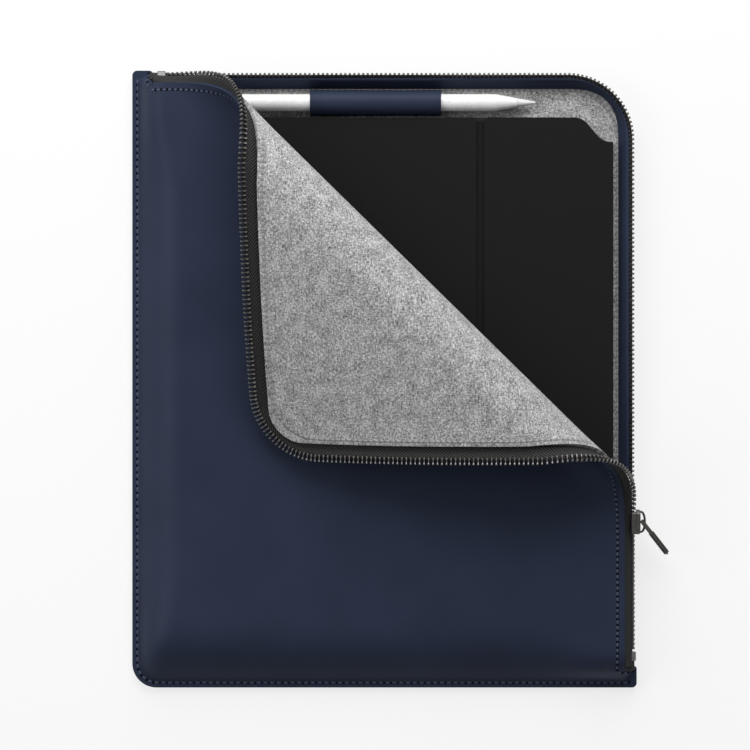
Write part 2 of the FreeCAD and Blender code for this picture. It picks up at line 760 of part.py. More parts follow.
def make_bridge():
    """Arch on the outer plate that holds the pull tab's pin."""
    body = new_body("bridge_arch")
    base = "(dims.zip_height - dims.bridge_width / 2)"
    drawing = new_sketch(body, "bridge_side", "XY_Plane", base)
    outer = f"({SLIDER_OUTSIDE} + dims.bridge_height + dims.bridge_wall)"
    inner = f"({SLIDER_OUTSIDE} + dims.bridge_height)"
    start = f"({SLIDER_BOTTOM} + dims.bridge_wall)"
    finish = f"({SLIDER_TOP} - dims.bridge_wall)"
    draw_outline(drawing, [
        (SLIDER_OUTSIDE, start), (outer, f"({start} + dims.bridge_height)"),
        (outer, f"({finish} - dims.bridge_height)"), (SLIDER_OUTSIDE, finish),
        (SLIDER_OUTSIDE, f"({finish} - dims.bridge_height)"),
        (inner, f"({finish} - 2 * dims.bridge_height)"), (inner, f"({start} + 2 * dims.bridge_height)"),
        (SLIDER_OUTSIDE, f"({start} + dims.bridge_height)"),
    ])
    pad(body, drawing, "dims.bridge_width")
    keep(body, "slider_bridge")


def make_pull():
    """Fork that straddles the bridge, the pin between its arms, and the slotted tab."""
    body = new_body("pull_fork")
    half_width = "(dims.pull_width / 2)"
    half_eye = "(dims.pull_pin / 2)"
    half_tab = "(dims.pull_thickness / 2)"
    neck = "dims.pull_neck"
    end = f"(dims.pull_length - {half_tab})"
    drawing = new_sketch(body, "pull_side", "XY_Plane")
    draw_outline(drawing, [
        (f"(-{half_eye})", f"(-{half_eye})"), (f"({neck} / 2)", f"(-{half_eye})"), (neck, f"(-{half_tab})"),
        (end, f"(-{half_tab})"), ("dims.pull_length", f"(-{half_tab} / 2)"),
        ("dims.pull_length", f"({half_tab} / 2)"), (end, half_tab),
        (neck, half_tab), (f"({neck} / 2)", half_eye), (f"(-{half_eye})", half_eye),
    ])
    pad(body, drawing, "dims.pull_width", "Symmetric")
    gap = new_sketch(body, "pull_fork_gap", "XZ_Plane")
    arm_gap = "(dims.bridge_width / 2 + dims.fit_gap)"
    draw_outline(gap, rectangle("(-dims.pull_pin)", f"(-{arm_gap})", neck, arm_gap))
    cut_through(body, gap)
    pin = new_sketch(body, "pull_pin", "XY_Plane")
    draw_circle(pin, "0", "0", "dims.pull_pin")
    pad(body, pin, "dims.pull_width", "Symmetric")
    slot = new_sketch(body, "pull_slot", "XZ_Plane")
    slot_half = f"({half_width} / 3)"
    slot_start = f"({neck} + {half_width})"
    slot_end = f"({end} - {half_width})"
    draw_outline(slot, rectangle(slot_start, f"(-{slot_half})", slot_end, slot_half))
    cut_through(body, slot)
    body.Placement.Rotation = Rotation(Vector(0, 0, 1), number("dims.pull_angle"))
    body.setExpression("Placement.Rotation.Angle", "dims.pull_angle")
    body.setExpression("Placement.Base.x", PIN_LINE)
    body.setExpression("Placement.Base.y", SLIDER_PLACE)
    body.setExpression("Placement.Base.z", "dims.zip_height")
    doc.recompute()
    keep(body, "pull_tab")


# Stylus and its loop

STYLUS_RADIUS = "(dims.stylus_diameter / 2)"
STYLUS_HEIGHT = f"({FLOOR} + dims.fit_gap + {STYLUS_RADIUS})"
NIB_RADIUS = (
    f"(dims.nib_tip_radius + ({STYLUS_RADIUS} - dims.nib_tip_radius)"
    " * dims.stylus_nib / dims.stylus_taper)"
)


def turned_body(name, points):
    """Solid of revolution about the stylus's own axis, which runs along X with the tip at its origin."""
    body = new_body(name)
    drawing = new_sketch(body, f"{name}_half", "XY_Plane")
    draw_outline(drawing, points)
    turned = body.newObject("PartDesign::Revolution", f"{name}_turned")
    turned.Profile = drawing
    turned.ReferenceAxis = (drawing, ["H_Axis"])
    for axis, expression in zip("xyz", (STYLUS_TIP, STYLUS_ROW, STYLUS_HEIGHT)):
        body.setExpression(f"Placement.Base.{axis}", expression)
    doc.recompute()
    return body, turned


def make_stylus():
    joint = "(-dims.stylus_nib - dims.nib_joint)"
    tail = "(-dims.stylus_length)"
    barrel, turned = turned_body("barrel", [
        (tail, "0"), (joint, "0"), (joint, NIB_RADIUS),
        ("(-dims.stylus_taper)", STYLUS_RADIUS), (tail, STYLUS_RADIUS),
    ])
    edges = [
        f"Edge{index}" for index, edge in enumerate(turned.Shape.Edges, start=1)
        if edge.BoundBox.XLength < 1e-6 and abs(edge.BoundBox.XMin + number("dims.stylus_length")) < 1e-6
        and edge.BoundBox.YLength > number(STYLUS_RADIUS)
    ]
    fillet = barrel.newObject("PartDesign::Fillet", "barrel_end")
    fillet.Base = (turned, edges)
    fillet.setExpression("Radius", "dims.stylus_end_radius")
    doc.recompute()
    keep(barrel, "stylus_barrel")
    nib, _ = turned_body("nib", [
        ("(-dims.stylus_nib)", "0"), ("0", "0"), ("0", "(dims.nib_tip_radius / 2)"),
        ("(-dims.nib_tip_radius / 2)", "dims.nib_tip_radius"), ("(-dims.stylus_nib)", NIB_RADIUS),
    ])
    keep(nib, "stylus_nib")


def make_stylus_loop():
    """Leather arch over the stylus, with a narrow sewn wing on each side."""
    inner = f"({STYLUS_RADIUS} + dims.fit_gap)"
    outer = f"({inner} + dims.loop_wall)"
    wing = f"({outer} + dims.loop_wing)"
    shapes = []
    for name, radius in (("loop_outer", outer), ("loop_inner", inner)):
        legs = box(
            f"{name}_legs", (LOOP_START, f"({STYLUS_ROW} - {radius})", FLOOR),
            ("dims.loop_length", f"2 * {radius}", f"({STYLUS_HEIGHT} - {FLOOR})"),
        )
        arch = doc.addObject("Part::Cylinder", f"{name}_arch")
        arch.Placement.Rotation = Rotation(Vector(0, 1, 0), 90)
        bind(arch, Radius=radius, Height="dims.loop_length")
        for axis, expression in zip("xyz", (LOOP_START, STYLUS_ROW, STYLUS_HEIGHT)):
            arch.setExpression(f"Placement.Base.{axis}", expression)
        shapes.append(combine("Fuse", name, legs, arch))
    wings = box(
        "loop_wings", (LOOP_START, f"({STYLUS_ROW} - {wing})", FLOOR),
        ("dims.loop_length", f"2 * {wing}", "dims.loop_wall"),
    )
    below = box(
        "loop_below", (LOOP_START, f"({STYLUS_ROW} - {wing})", "0"),
        ("dims.loop_length", f"2 * {wing}", FLOOR),
    )
    hollow = combine("Cut", "loop_arch", combine("Fuse", "loop_solid", shapes[0], wings), shapes[1])
    keep(combine("Cut", "loop_trimmed", hollow, below), "stylus_loop")


# Keyboard cover: two outer panels and a keyboard, closed on each other like a book

def cover_layer(name, left, right, base, thickness):
    """Flat layer of the cover's full length, between two places across it."""
    return prism(name, rectangle(left, COVER_BOTTOM, right, COVER_TOP), base, thickness)


def notch_corner(body, feature, name):
    """Cut the camera notch, which has one slanted side, out of the upper right corner."""
    left = f"({COVER_RIGHT} - dims.notch_width)"
    foot = f"({COVER_RIGHT} - dims.notch_floor)"
    right = f"({COVER_RIGHT} + dims.notch_width)"
    low = f"({COVER_TOP} - dims.notch_depth)"
    past = f"({COVER_TOP} + dims.notch_depth)"
    drawing = new_sketch(body, f"{name}_notch", "XY_Plane")
    draw_outline(drawing, [(left, COVER_TOP), (foot, low), (right, low), (right, past), (left, past)])
    cut = cut_through(body, drawing)
    return round_upright_edges(body, cut, [(foot, low), (left, COVER_TOP)], "dims.notch_radius")


def magnet_rows():
    """Places of the two rows of magnets, with the first one of each row."""
    first = f"({COVER_BOTTOM} + ({COVER_LENGTH} - {MAGNETS_PER_ROW - 1} * dims.magnet_spacing) / 2)"
    return (f"({COVER_LEFT} + dims.magnet_inset)", first), (f"({COVER_RIGHT} - dims.magnet_inset)", first)


def drill_row(body, name, place, base, hole, spacing, count):
    """Row of round pockets along Y, each open downward. The hole is a diameter and a depth."""
    diameter, depth = hole
    drawing = new_sketch(body, f"{name}_hole", "XY_Plane", base)
    draw_circle(drawing, place[0], place[1], diameter)
    pocket = body.newObject("PartDesign::Pocket", f"{name}_pocket")
    pocket.Profile = drawing
    pocket.Reversed = True
    pocket.setExpression("Length", depth)
    doc.recompute()
    row = body.newObject("PartDesign::LinearPattern", f"{name}_row")
    row.Originals = [pocket]
    row.Direction = (drawing, ["V_Axis"])
    row.Occurrences = count
    row.setExpression("Length", f"{count - 1} * {spacing}")
    body.Tip = row
    doc.recompute()


def make_cover_panels():
    left_row, right_row = magnet_rows()
    hole = ("dims.magnet_diameter + 2 * dims.fit_gap", "dims.magnet_thickness")
    spacing = "dims.magnet_spacing"
    wide, feature = cover_layer("wide_panel", COVER_LEFT, GROOVE_LEFT, COVER_PANEL_BASE, "dims.cover_panel")
    outer = [(COVER_LEFT, COVER_BOTTOM), (COVER_LEFT, COVER_TOP)]
    feature = round_upright_edges(wide, feature, outer, "dims.cover_corner_radius")
    inner = [(GROOVE_LEFT, COVER_BOTTOM), (GROOVE_LEFT, COVER_TOP)]
    round_upright_edges(wide, feature, inner, "dims.groove_corner_radius")
    drill_row(wide, "wide", left_row, COVER_PANEL_BASE, hole, spacing, MAGNETS_PER_ROW)
    keep(wide, "cover_wide_panel")
    narrow, feature = cover_layer(
        "narrow_panel", GROOVE_RIGHT, COVER_RIGHT, COVER_PANEL_BASE, "dims.cover_panel")
    feature = round_upright_edges(
        narrow, feature, [(COVER_RIGHT, COVER_BOTTOM)], "dims.cover_corner_radius")
    inner = [(GROOVE_RIGHT, COVER_BOTTOM), (GROOVE_RIGHT, COVER_TOP)]
    feature = round_upright_edges(narrow, feature, inner, "dims.groove_corner_radius")
    notch_corner(narrow, feature, "narrow")
    drill_row(narrow, "narrow", right_row, COVER_PANEL_BASE, hole, spacing, MAGNETS_PER_ROW)
    keep(narrow, "cover_narrow_panel")
    web = box(
        "groove_web_strip", (GROOVE_LEFT, f"({COVER_BOTTOM} + dims.groove_corner_radius)", COVER_PANEL_BASE),
        ("dims.groove_width", f"({COVER_LENGTH} - 2 * dims.groove_corner_radius)", "dims.groove_web"),
    )
    keep(web, "cover_groove_web")
    spine_end = f"({COVER_BOTTOM} + dims.cover_corner_radius)"
    spine_length = f"({COVER_LENGTH} - 2 * dims.cover_corner_radius)"
    spine = box(
        "spine_strip", (f"({COVER_LEFT} - dims.spine_wall)", spine_end, COVER_BASE),
        ("dims.spine_wall", spine_length, f"({COVER_ROOF} - {COVER_BASE})"),
    )
    keep(spine, "cover_spine")


def make_magnets():
    magnets = []
    for side, (across, first) in zip(("left", "right"), magnet_rows()):
        for index in range(MAGNETS_PER_ROW):
            name = f"{side}_magnet_{index}"
            place = (across, f"({first} + {index} * dims.magnet_spacing)", COVER_PANEL_BASE)
            magnets.append(disc(name, place, "dims.magnet_diameter", "dims.magnet_thickness"))
    keep(group("magnet_set", magnets), "cover_magnets")


def contact_place():
    first = f"({COVER_TOP} - {COVER_LENGTH} / 2 - {(CONTACT_COUNT - 1) / 2} * dims.contact_spacing)"
    return f"({COVER_LEFT} + dims.contact_inset)", first


def make_cover_inside():
    """Lining under the outer panels, with its contacts, and the layers of the keyboard below it."""
    lining, feature = cover_layer("inner_lining", COVER_LEFT, COVER_RIGHT, LINING_BASE, "dims.cover_lining")
    notch_corner(lining, feature, "lining")
    hole = ("dims.contact_diameter + 2 * dims.fit_gap", "dims.cover_lining")
    drill_row(lining, "contact", contact_place(), LINING_BASE, hole, "dims.contact_spacing", CONTACT_COUNT)
    keep(lining, "cover_inner_lining")
    contacts = []
    across, first = contact_place()
    for index in range(CONTACT_COUNT):
        place = (across, f"({first} + {index} * dims.contact_spacing)", LINING_BASE)
        contacts.append(disc(f"contact_{index}", place, "dims.contact_diameter", "dims.cover_lining"))
    keep(group("contact_set", contacts), "cover_contacts")
    base, feature = cover_layer("base_plate", COVER_LEFT, COVER_RIGHT, COVER_BASE, "dims.base_thickness")
    notch_corner(base, feature, "base")
    keep(base, "keyboard_base")
    field = key_field()
    window = rectangle(*field)
    deck, feature = cover_layer("deck_frame", COVER_LEFT, COVER_RIGHT, DECK_BASE, "dims.deck_height")
    notch_corner(deck, feature, "deck")
    opening = new_sketch(deck, "deck_window", "XY_Plane")
    draw_outline(opening, window)
    cut_through(deck, opening)
    keep(deck, "keyboard_deck")
    membrane, _ = prism("membrane_sheet", window, DECK_BASE, "dims.membrane")
    keep(membrane, "key_membrane")


def key_field():
    """Left, bottom, right and top of the window that the keys stand in."""
    left = f"({COVER_LEFT} + dims.key_side_gap)"
    right = f"({left} + {KEY_ROWS} * {KEY_PITCH} + dims.key_gap)"
    return left, f"({COVER_BOTTOM} + dims.key_end_gap)", right, f"({COVER_TOP} - dims.key_end_gap)"


def make_keycaps():
    """Rows of keys, the last row with one long key in its middle."""
    pitch = number(KEY_PITCH)
    gap = number("dims.key_gap")
    height = number("dims.key_height")
    left, bottom, _, _ = (number(side) for side in key_field())
    base = number(f"{DECK_BASE} + dims.membrane + dims.key_lift")
    long_start = (KEY_COLUMNS - SPACE_BAR_KEYS) // 2
    caps = []
    for row in range(KEY_ROWS):
        column = 0
        while column < KEY_COLUMNS:
            span = SPACE_BAR_KEYS if row == KEY_ROWS - 1 and column == long_start else 1
            corner = Vector(left + gap + row * pitch, bottom + gap + column * pitch, base)
            caps.append(Part.makeBox(pitch - gap, span * pitch - gap, height, corner))
            column += span
    item = doc.addObject("Part::Feature", "key_rows")
    item.Shape = Part.makeCompound(caps)
    keep(item, "keycaps")


beyond_fold_start = half_space("beyond_fold_start", FOLD_LINE)
roll_end = f"{FOLD_LINE} + dims.fold_radius * (180 + dims.flap_tilt) * pi / 180"
beyond_fold_end = half_space("beyond_fold_end", roll_end)
doc.recompute()
make_back_panel()
make_back_lining()
front_leather, front_felt = make_closed_front()
split_at_fold(front_leather, "front_panel", "front_flap")
split_at_fold(front_felt, "front_lining", "flap_lining")
make_rolled_sheets()
make_zip_tapes()
make_zip_teeth()
make_zip_stops()
make_slider()
make_bridge()
make_pull()
make_stylus()
make_stylus_loop()
make_cover_panels()
make_magnets()
make_cover_inside()
make_keycaps()
doc.recompute()

for item in doc.Objects:
    if "Invalid" in item.State or "Error" in item.State:
        raise RuntimeError(f"{item.Name} did not build: {item.State}")
for item in subparts:
    if item.Shape.isNull() or not item.Shape.isValid():
        raise RuntimeError(f"{item.Label} has no valid shape")
os.makedirs("parts", exist_ok=True)
for item in subparts:
    item.Shape.exportStep(os.path.join("parts", f"{item.Label}.step"))
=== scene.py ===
"""Looks of a zip folio with one corner folded back, holding a keyboard cover and a stylus.

Sizes are millimetres in the folio's own frame, and meshes are made in metres. The front sheet and its
half of the zip are drawn closed and flat, then carried round the bend of the folded corner.
"""

import math

import bpy
import numpy as np
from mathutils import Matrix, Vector


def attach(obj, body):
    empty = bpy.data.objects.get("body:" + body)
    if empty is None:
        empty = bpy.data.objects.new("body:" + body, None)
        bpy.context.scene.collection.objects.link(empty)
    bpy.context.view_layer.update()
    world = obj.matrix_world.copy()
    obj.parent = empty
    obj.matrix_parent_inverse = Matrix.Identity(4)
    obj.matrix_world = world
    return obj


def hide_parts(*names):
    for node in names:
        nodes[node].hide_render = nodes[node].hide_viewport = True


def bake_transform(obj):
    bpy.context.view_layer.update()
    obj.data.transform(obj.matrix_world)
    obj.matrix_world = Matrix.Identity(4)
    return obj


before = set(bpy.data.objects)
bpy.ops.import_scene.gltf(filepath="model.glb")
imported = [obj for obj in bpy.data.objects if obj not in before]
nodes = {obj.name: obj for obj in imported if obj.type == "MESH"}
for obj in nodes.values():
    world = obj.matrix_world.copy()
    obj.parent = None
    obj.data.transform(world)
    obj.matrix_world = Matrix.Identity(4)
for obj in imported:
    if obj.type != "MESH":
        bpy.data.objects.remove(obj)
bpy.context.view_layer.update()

MM = 0.001
LEFT, RIGHT, BOTTOM, TOP = -130.0, 130.0, -159.0, 159.0
LEATHER, FELT = 1.4, 2.6
FLOOR, HEIGHT = 4.0, 20.0
SEAM_TOP, SEAM_MARGIN = 2.8, 3.2
PANEL_INSET, LINING_INSET, END_TAB = 7.0, 11.0, 11.0
ZIP_INSET, ZIP_HEIGHT, ZIP_CORNER = 1.7, 13.6, 34.3
BACK_TILT, FRONT_TILT = math.radians(50), math.radians(-22)
TOOTH_PITCH = 2.3
LOWER_PHASE, UPPER_PHASE = 0.25, 0.75
ZIP_START, ZIP_FOOT = -112.7, -141.7
TOP_STOP, BOTTOM_STOP = (-116.5, -112.3), (-139.8, -144.4)
SLIDER_PLACE = -73.2
SEAM_PITCH, ZIP_SEAM_PITCH = 3.5, 2.9
SEAM_CORNER, TAB_CORNER = 12.5, 2.5

BEARING = math.radians(45.5)
OUT = np.array([math.cos(BEARING), math.sin(BEARING)])
ALONG = np.array([math.sin(BEARING), -math.cos(BEARING)])
BEND_START, BEND_RADIUS, BEND_CENTRE = 29.5, 19.5, 37.5
ROLL_TURN = math.radians(192)
ROLL_LENGTH = BEND_RADIUS * ROLL_TURN
FLAP_ARCH, FLAP_LENGTH = math.radians(18), 91
FLAP_CURVE = FLAP_ARCH / FLAP_LENGTH
ZIP_EASE = 15.0


# The bend of the folded corner

def roll_at(past, eased):
    """Turn made in the roll at a distance past its start. The zip holds back at first."""
    turn = np.clip(past, 0, ROLL_LENGTH) / BEND_RADIUS
    if eased:
        held = 1 - BEND_RADIUS / (BEND_CENTRE - ZIP_HEIGHT)
        turn = turn * (1 - held * np.exp(-(np.clip(past, 0, None) / ZIP_EASE) ** 2))
    return turn


def bend_line(past, eased):
    """Place (out, height) and turn on the middle of the sheet, which rolls over and then arches gently."""
    rolled = roll_at(past, eased)
    turn = rolled + np.clip(past - ROLL_LENGTH, 0, None) * FLAP_CURVE
    out = BEND_START + np.minimum(past, 0) + BEND_RADIUS * np.sin(rolled)
    out = out + (np.sin(turn) - np.sin(rolled)) / FLAP_CURVE
    height = BEND_CENTRE - BEND_RADIUS * np.cos(rolled) + (np.cos(rolled) - np.cos(turn)) / FLAP_CURVE
    return out, height, turn, rolled / ROLL_TURN


def bend(points, eased=False):
    """Closed points carried round the bend, and the share of the roll that each has passed."""
    points = np.asarray(points, float)
    along = points[:, :2] @ ALONG
    out, height, turn, share = bend_line(points[:, :2] @ OUT - BEND_START, eased)
    lift = points[:, 2] - (BEND_CENTRE - BEND_RADIUS)
    out = out - lift * np.sin(turn)
    height = height + lift * np.cos(turn)
    return np.column_stack([out[:, None] * OUT + along[:, None] * ALONG, height]), share


def bend_rigid(points, centre, eased):
    """One small rigid piece carried round the bend by its centre."""
    past = np.array(float(np.dot(centre[:2], OUT)) - BEND_START)
    out, height, turn, share = bend_line(past, eased)
    ahead = points[:, :2] @ OUT - BEND_START - past
    lift = points[:, 2] - (BEND_CENTRE - BEND_RADIUS)
    along = points[:, :2] @ ALONG
    new_out = out + ahead * np.cos(turn) - lift * np.sin(turn)
    new_height = height + ahead * np.sin(turn) + lift * np.cos(turn)
    return np.column_stack([new_out[:, None] * OUT + along[:, None] * ALONG, new_height]), float(share)


# Mesh helpers

def make_object(name, points, faces, material, flat=None, smooth=True):
    """Mesh object from millimetre points. Flat gives each point's place on the uncut sheet."""
    mesh = bpy.data.meshes.new(name)
    mesh.from_pydata((np.asarray(points, float) * MM).tolist(), [], [list(face) for face in faces])
    mesh.validate()
    mesh.update()
    if smooth:
        mesh.shade_smooth()
    if flat is not None:
        layer = mesh.uv_layers.new(name="flat")
        corners = np.zeros(len(mesh.loops), np.int32)
        mesh.loops.foreach_get("vertex_index", corners)
        layer.data.foreach_set("uv", (np.asarray(flat, float)[corners] * MM).astype(np.float32).ravel())
    mesh.materials.append(material)
    item = bpy.data.objects.new(name, mesh)
    bpy.context.scene.collection.objects.link(item)
    return item


def grid_faces(rows, columns, start, flip):
    """Faces of one grid of points whose first index is start."""
    faces = []
    for row in range(rows - 1):
        for column in range(columns - 1):
            corner = start + row * columns + column
            face = (corner, corner + 1, corner + columns + 1, corner + columns)
            faces.append(face[::-1] if flip else face)
    return faces


def slab(top, bottom):
    """Points and faces of a closed sheet from two grids of points."""
    rows, columns = top.shape[:2]
    count = rows * columns
    points = np.vstack([top.reshape(-1, 3), bottom.reshape(-1, 3)])
    faces = grid_faces(rows, columns, 0, False) + grid_faces(rows, columns, count, True)
    rim = [(0, column) for column in range(columns)]
    rim += [(row, columns - 1) for row in range(1, rows)]
    rim += [(rows - 1, column) for column in range(columns - 2, -1, -1)]
    rim += [(row, 0) for row in range(rows - 2, 0, -1)]
    loop = [row * columns + column for row, column in rim]
    for first, second in zip(loop, loop[1:] + loop[:1]):
        faces.append((second, first, first + count, second + count))
    return points, faces


def tube_faces(rings, count, flip=False, caps=True):
    """Faces between neighbouring closed rings of points, and over both ends."""
    faces = []
    for ring in range(rings - 1):
        for index in range(count):
            first = ring * count + index
            second = ring * count + (index + 1) % count
            if flip:
                faces.append((first, first + count, second + count, second))
            else:
                faces.append((first, second, second + count, first + count))
    if caps:
        start = tuple(range(count))
        end = tuple(range((rings - 1) * count, rings * count))
        faces += [start, end[::-1]] if flip else [start[::-1], end]
    return faces


def turned(points, angle, first, second):
    """Points turned by an angle in the plane of two axes."""
    cosine, sine = math.cos(angle), math.sin(angle)
    result = points.copy()
    result[:, first] = points[:, first] * cosine - points[:, second] * sine
    result[:, second] = points[:, first] * sine + points[:, second] * cosine
    return result


def soften_rim(item, width, segments=2):
    """Round the sharp edges of a piece."""
    bevel = item.modifiers.new("rim", "BEVEL")
    bevel.width = width * MM
    bevel.segments = segments
    bevel.limit_method = "ANGLE"
    bevel.angle_limit = math.radians(50)


def join_parts(parts):
    """One list of points and faces from several."""
    points, faces, start = [], [], 0
    for part_points, part_faces in parts:
        points.append(np.asarray(part_points, float))
        faces.extend(tuple(index + start for index in face) for face in part_faces)
        start += len(part_points)
    return np.vstack(points), faces


def spaced(*runs):
    """Places along a line from runs of (start, end, number of steps)."""
    values = [runs[0][0]]
    for start, end, steps in runs:
        values.extend(np.linspace(start, end, steps + 1)[1:])
    return np.array(values)


def blend_to_flap(item):
    """Bake the placement of a piece that lies between the folio and its folded corner into its mesh."""
    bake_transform(item)


# Materials

def new_material(name, base, roughness, metallic=0.0, specular=0.5):
    material = bpy.data.materials.new(name)
    material.use_nodes = True
    shader = material.node_tree.nodes["Principled BSDF"]
    shader.inputs["Base Color"].default_value = (*base, 1)
    shader.inputs["Roughness"].default_value = roughness
    shader.inputs["Metallic"].default_value = metallic
    shader.inputs["Specular IOR Level"].default_value = specular
    return material, material.node_tree, shader


def place_on(tree, source, stretch=(1, 1, 1)):
    """Texture places, from the sheet's flat map or the object's own frame."""
    mapping = tree.nodes.new("ShaderNodeMapping")
    mapping.inputs["Scale"].default_value = stretch
    if source == "flat":
        place = tree.nodes.new("ShaderNodeUVMap")
        place.uv_map = "flat"
        tree.links.new(place.outputs["UV"], mapping.inputs["Vector"])
    else:
        place = tree.nodes.new("ShaderNodeTexCoord")
        tree.links.new(place.outputs["Object"], mapping.inputs["Vector"])
    return mapping.outputs["Vector"]


def noise(tree, place, scale, detail=2.0, roughness=0.5):
    node = tree.nodes.new("ShaderNodeTexNoise")
    node.inputs["Scale"].default_value = scale
    node.inputs["Detail"].default_value = detail
    node.inputs["Roughness"].default_value = roughness
    tree.links.new(place, node.inputs["Vector"])
    return node.outputs["Fac"]


def ramp(tree, factor, stops):
    node = tree.nodes.new("ShaderNodeValToRGB")
    node.color_ramp.elements[0].position = stops[0][0]
    node.color_ramp.elements[0].color = (*stops[0][1], 1)
    node.color_ramp.elements[1].position = stops[-1][0]
    node.color_ramp.elements[1].color = (*stops[-1][1], 1)
    for position, colour in stops[1:-1]:
        node.color_ramp.elements.new(position).color = (*colour, 1)
    tree.links.new(factor, node.inputs["Fac"])
    return node.outputs["Color"]


def math_node(tree, operation, first, second):
    node = tree.nodes.new("ShaderNodeMath")
    node.operation = operation
    for socket, value in zip(node.inputs, (first, second)):
        if isinstance(value, (int, float)):
            socket.default_value = value
        else:
            tree.links.new(value, socket)
    return node.outputs["Value"]


def bump(tree, shader, height, strength, distance):
    node = tree.nodes.new("ShaderNodeBump")
    node.inputs["Strength"].default_value = strength
    node.inputs["Distance"].default_value = distance
    tree.links.new(height, node.inputs["Height"])
    tree.links.new(node.outputs["Normal"], shader.inputs["Normal"])


def tint(base, factor):
    return tuple(min(1.0, channel * factor) for channel in base)


def leather_material(name, base, source):
    """Smooth coated leather: faint cloudy colour, very fine pores and a soft even sheen."""
    material, tree, shader = new_material(name, base, 0.5, specular=0.08)
    place = place_on(tree, source)
    clouds = noise(tree, place, 26, 3)
    colour = ramp(tree, clouds, [(0.3, tint(base, 0.9)), (0.7, tint(base, 1.1))])
    tree.links.new(colour, shader.inputs["Base Color"])
    pores = noise(tree, place, 2600, 2, 0.6)
    grain = noise(tree, place, 700, 3, 0.6)
    height = math_node(tree, "ADD", pores, math_node(tree, "MULTIPLY", grain, 0.8))
    bump(tree, shader, height, 0.16, 0.0002)
    rough = ramp(tree, grain, [(0.3, (0.4, 0.4, 0.4)), (0.7, (0.5, 0.5, 0.5))])
    tree.links.new(rough, shader.inputs["Roughness"])
    return material


def felt_material(name, source, dark=0.09, light=0.76):
    """Pressed wool: flecks of dark and light fibre in two directions, and a fuzzy surface."""
    material, tree, shader = new_material(name, (0.4, 0.4, 0.4), 0.95, specular=0.05)
    shader.inputs["Sheen Weight"].default_value = 0.1
    shader.inputs["Sheen Roughness"].default_value = 0.6
    across = noise(tree, place_on(tree, source, (1, 2.0, 1)), 640, 3, 0.75)
    length = noise(tree, place_on(tree, source, (2.0, 1, 1)), 690, 3, 0.75)
    patches = noise(tree, place_on(tree, source), 160, 3, 0.6)
    fibres = math_node(tree, "MULTIPLY", math_node(tree, "ADD", across, length), 0.42)
    fibres = math_node(tree, "ADD", fibres, math_node(tree, "MULTIPLY", patches, 0.16))
    middle = (dark + light) / 2 - 0.05
    colour = ramp(tree, fibres, [
        (0.4, (dark, dark, dark)), (0.5, (middle, middle, middle)), (0.59, (light, light, light)),
    ])
    tree.links.new(colour, shader.inputs["Base Color"])
    fuzz = noise(tree, place_on(tree, source), 1700, 4, 0.7)
    bump(tree, shader, math_node(tree, "ADD", fuzz, fibres), 0.5, 0.0006)
    return material


def tape_material(name, source):
    """Black woven tape with a fine diagonal rib."""
    material, tree, shader = new_material(name, (0.02, 0.02, 0.021), 0.85, specular=0.25)
    rib = tree.nodes.new("ShaderNodeTexWave")
    rib.wave_type = "BANDS"
    rib.bands_direction = "DIAGONAL"
    rib.inputs["Scale"].default_value = 340
    rib.inputs["Distortion"].default_value = 1.5
    rib.inputs["Detail"].default_value = 1.0
    tree.links.new(place_on(tree, source), rib.inputs["Vector"])
    colour = ramp(tree, rib.outputs["Fac"], [(0.2, (0.004, 0.004, 0.004)), (0.9, (0.05, 0.05, 0.051))])
    tree.links.new(colour, shader.inputs["Base Color"])
    bump(tree, shader, rib.outputs["Fac"], 0.5, 0.0003)
    return material


def metal_material(name, base, roughness):
    """Dark plated metal with a slightly uneven polish."""
    material, tree, shader = new_material(name, base, roughness, metallic=1.0)
    wear = noise(tree, place_on(tree, "object"), 900, 3, 0.6)
    rough = ramp(tree, wear, [(0.3, (roughness - 0.08,) * 3), (0.7, (roughness + 0.1,) * 3)])
    tree.links.new(rough, shader.inputs["Roughness"])
    colour = ramp(tree, wear, [(0.3, tint(base, 0.8)), (0.7, tint(base, 1.2))])
    tree.links.new(colour, shader.inputs["Base Color"])
    return material


def plastic_material(name, base, roughness, grain, strength, specular=0.5):
    """Moulded or coated plastic with a fine surface grain."""
    material, tree, shader = new_material(name, base, roughness, specular=specular)
    texture = noise(tree, place_on(tree, "object"), grain, 3, 0.6)
    colour = ramp(tree, texture, [(0.3, tint(base, 0.93)), (0.7, tint(base, 1.07))])
    tree.links.new(colour, shader.inputs["Base Color"])
    bump(tree, shader, texture, strength, 0.0002)
    return material


NAVY = (0.0235, 0.032, 0.0595)
LEATHER_FLAT = leather_material("navy_leather_sheet", NAVY, "flat")
FELT_FLAT = felt_material("grey_felt_sheet", "flat")
TAPE_FLAT = tape_material("black_tape_sheet", "flat")
GUNMETAL = metal_material("gunmetal", (0.11, 0.107, 0.104), 0.3)
DARK_METAL = metal_material("dark_gunmetal", (0.055, 0.054, 0.052), 0.26)
THREAD = plastic_material("navy_thread", (0.04, 0.055, 0.095), 0.7, 3000, 0.3)
# Stitch holes: near-black marks of painted shade, standing for the shadow inside each puncture.
PUNCTURE_SHADE = plastic_material("stitch_hole_shade", (0.003, 0.004, 0.008), 0.9, 3000, 0.1, specular=0.1)
FELT_THREAD = plastic_material("grey_thread", (0.37, 0.37, 0.37), 0.8, 3000, 0.3)
# Felt dimples: grey a little darker than the felt, painted shade of the dimple where the thread sinks in.
FELT_DIMPLE_SHADE = plastic_material("felt_dimple_shade", (0.26, 0.26, 0.26), 0.9, 3000, 0.1, specular=0.1)
COVER = plastic_material("black_cover", (0.0065, 0.0065, 0.0065), 0.6, 1600, 0.12, specular=0.09)


# Front sheets

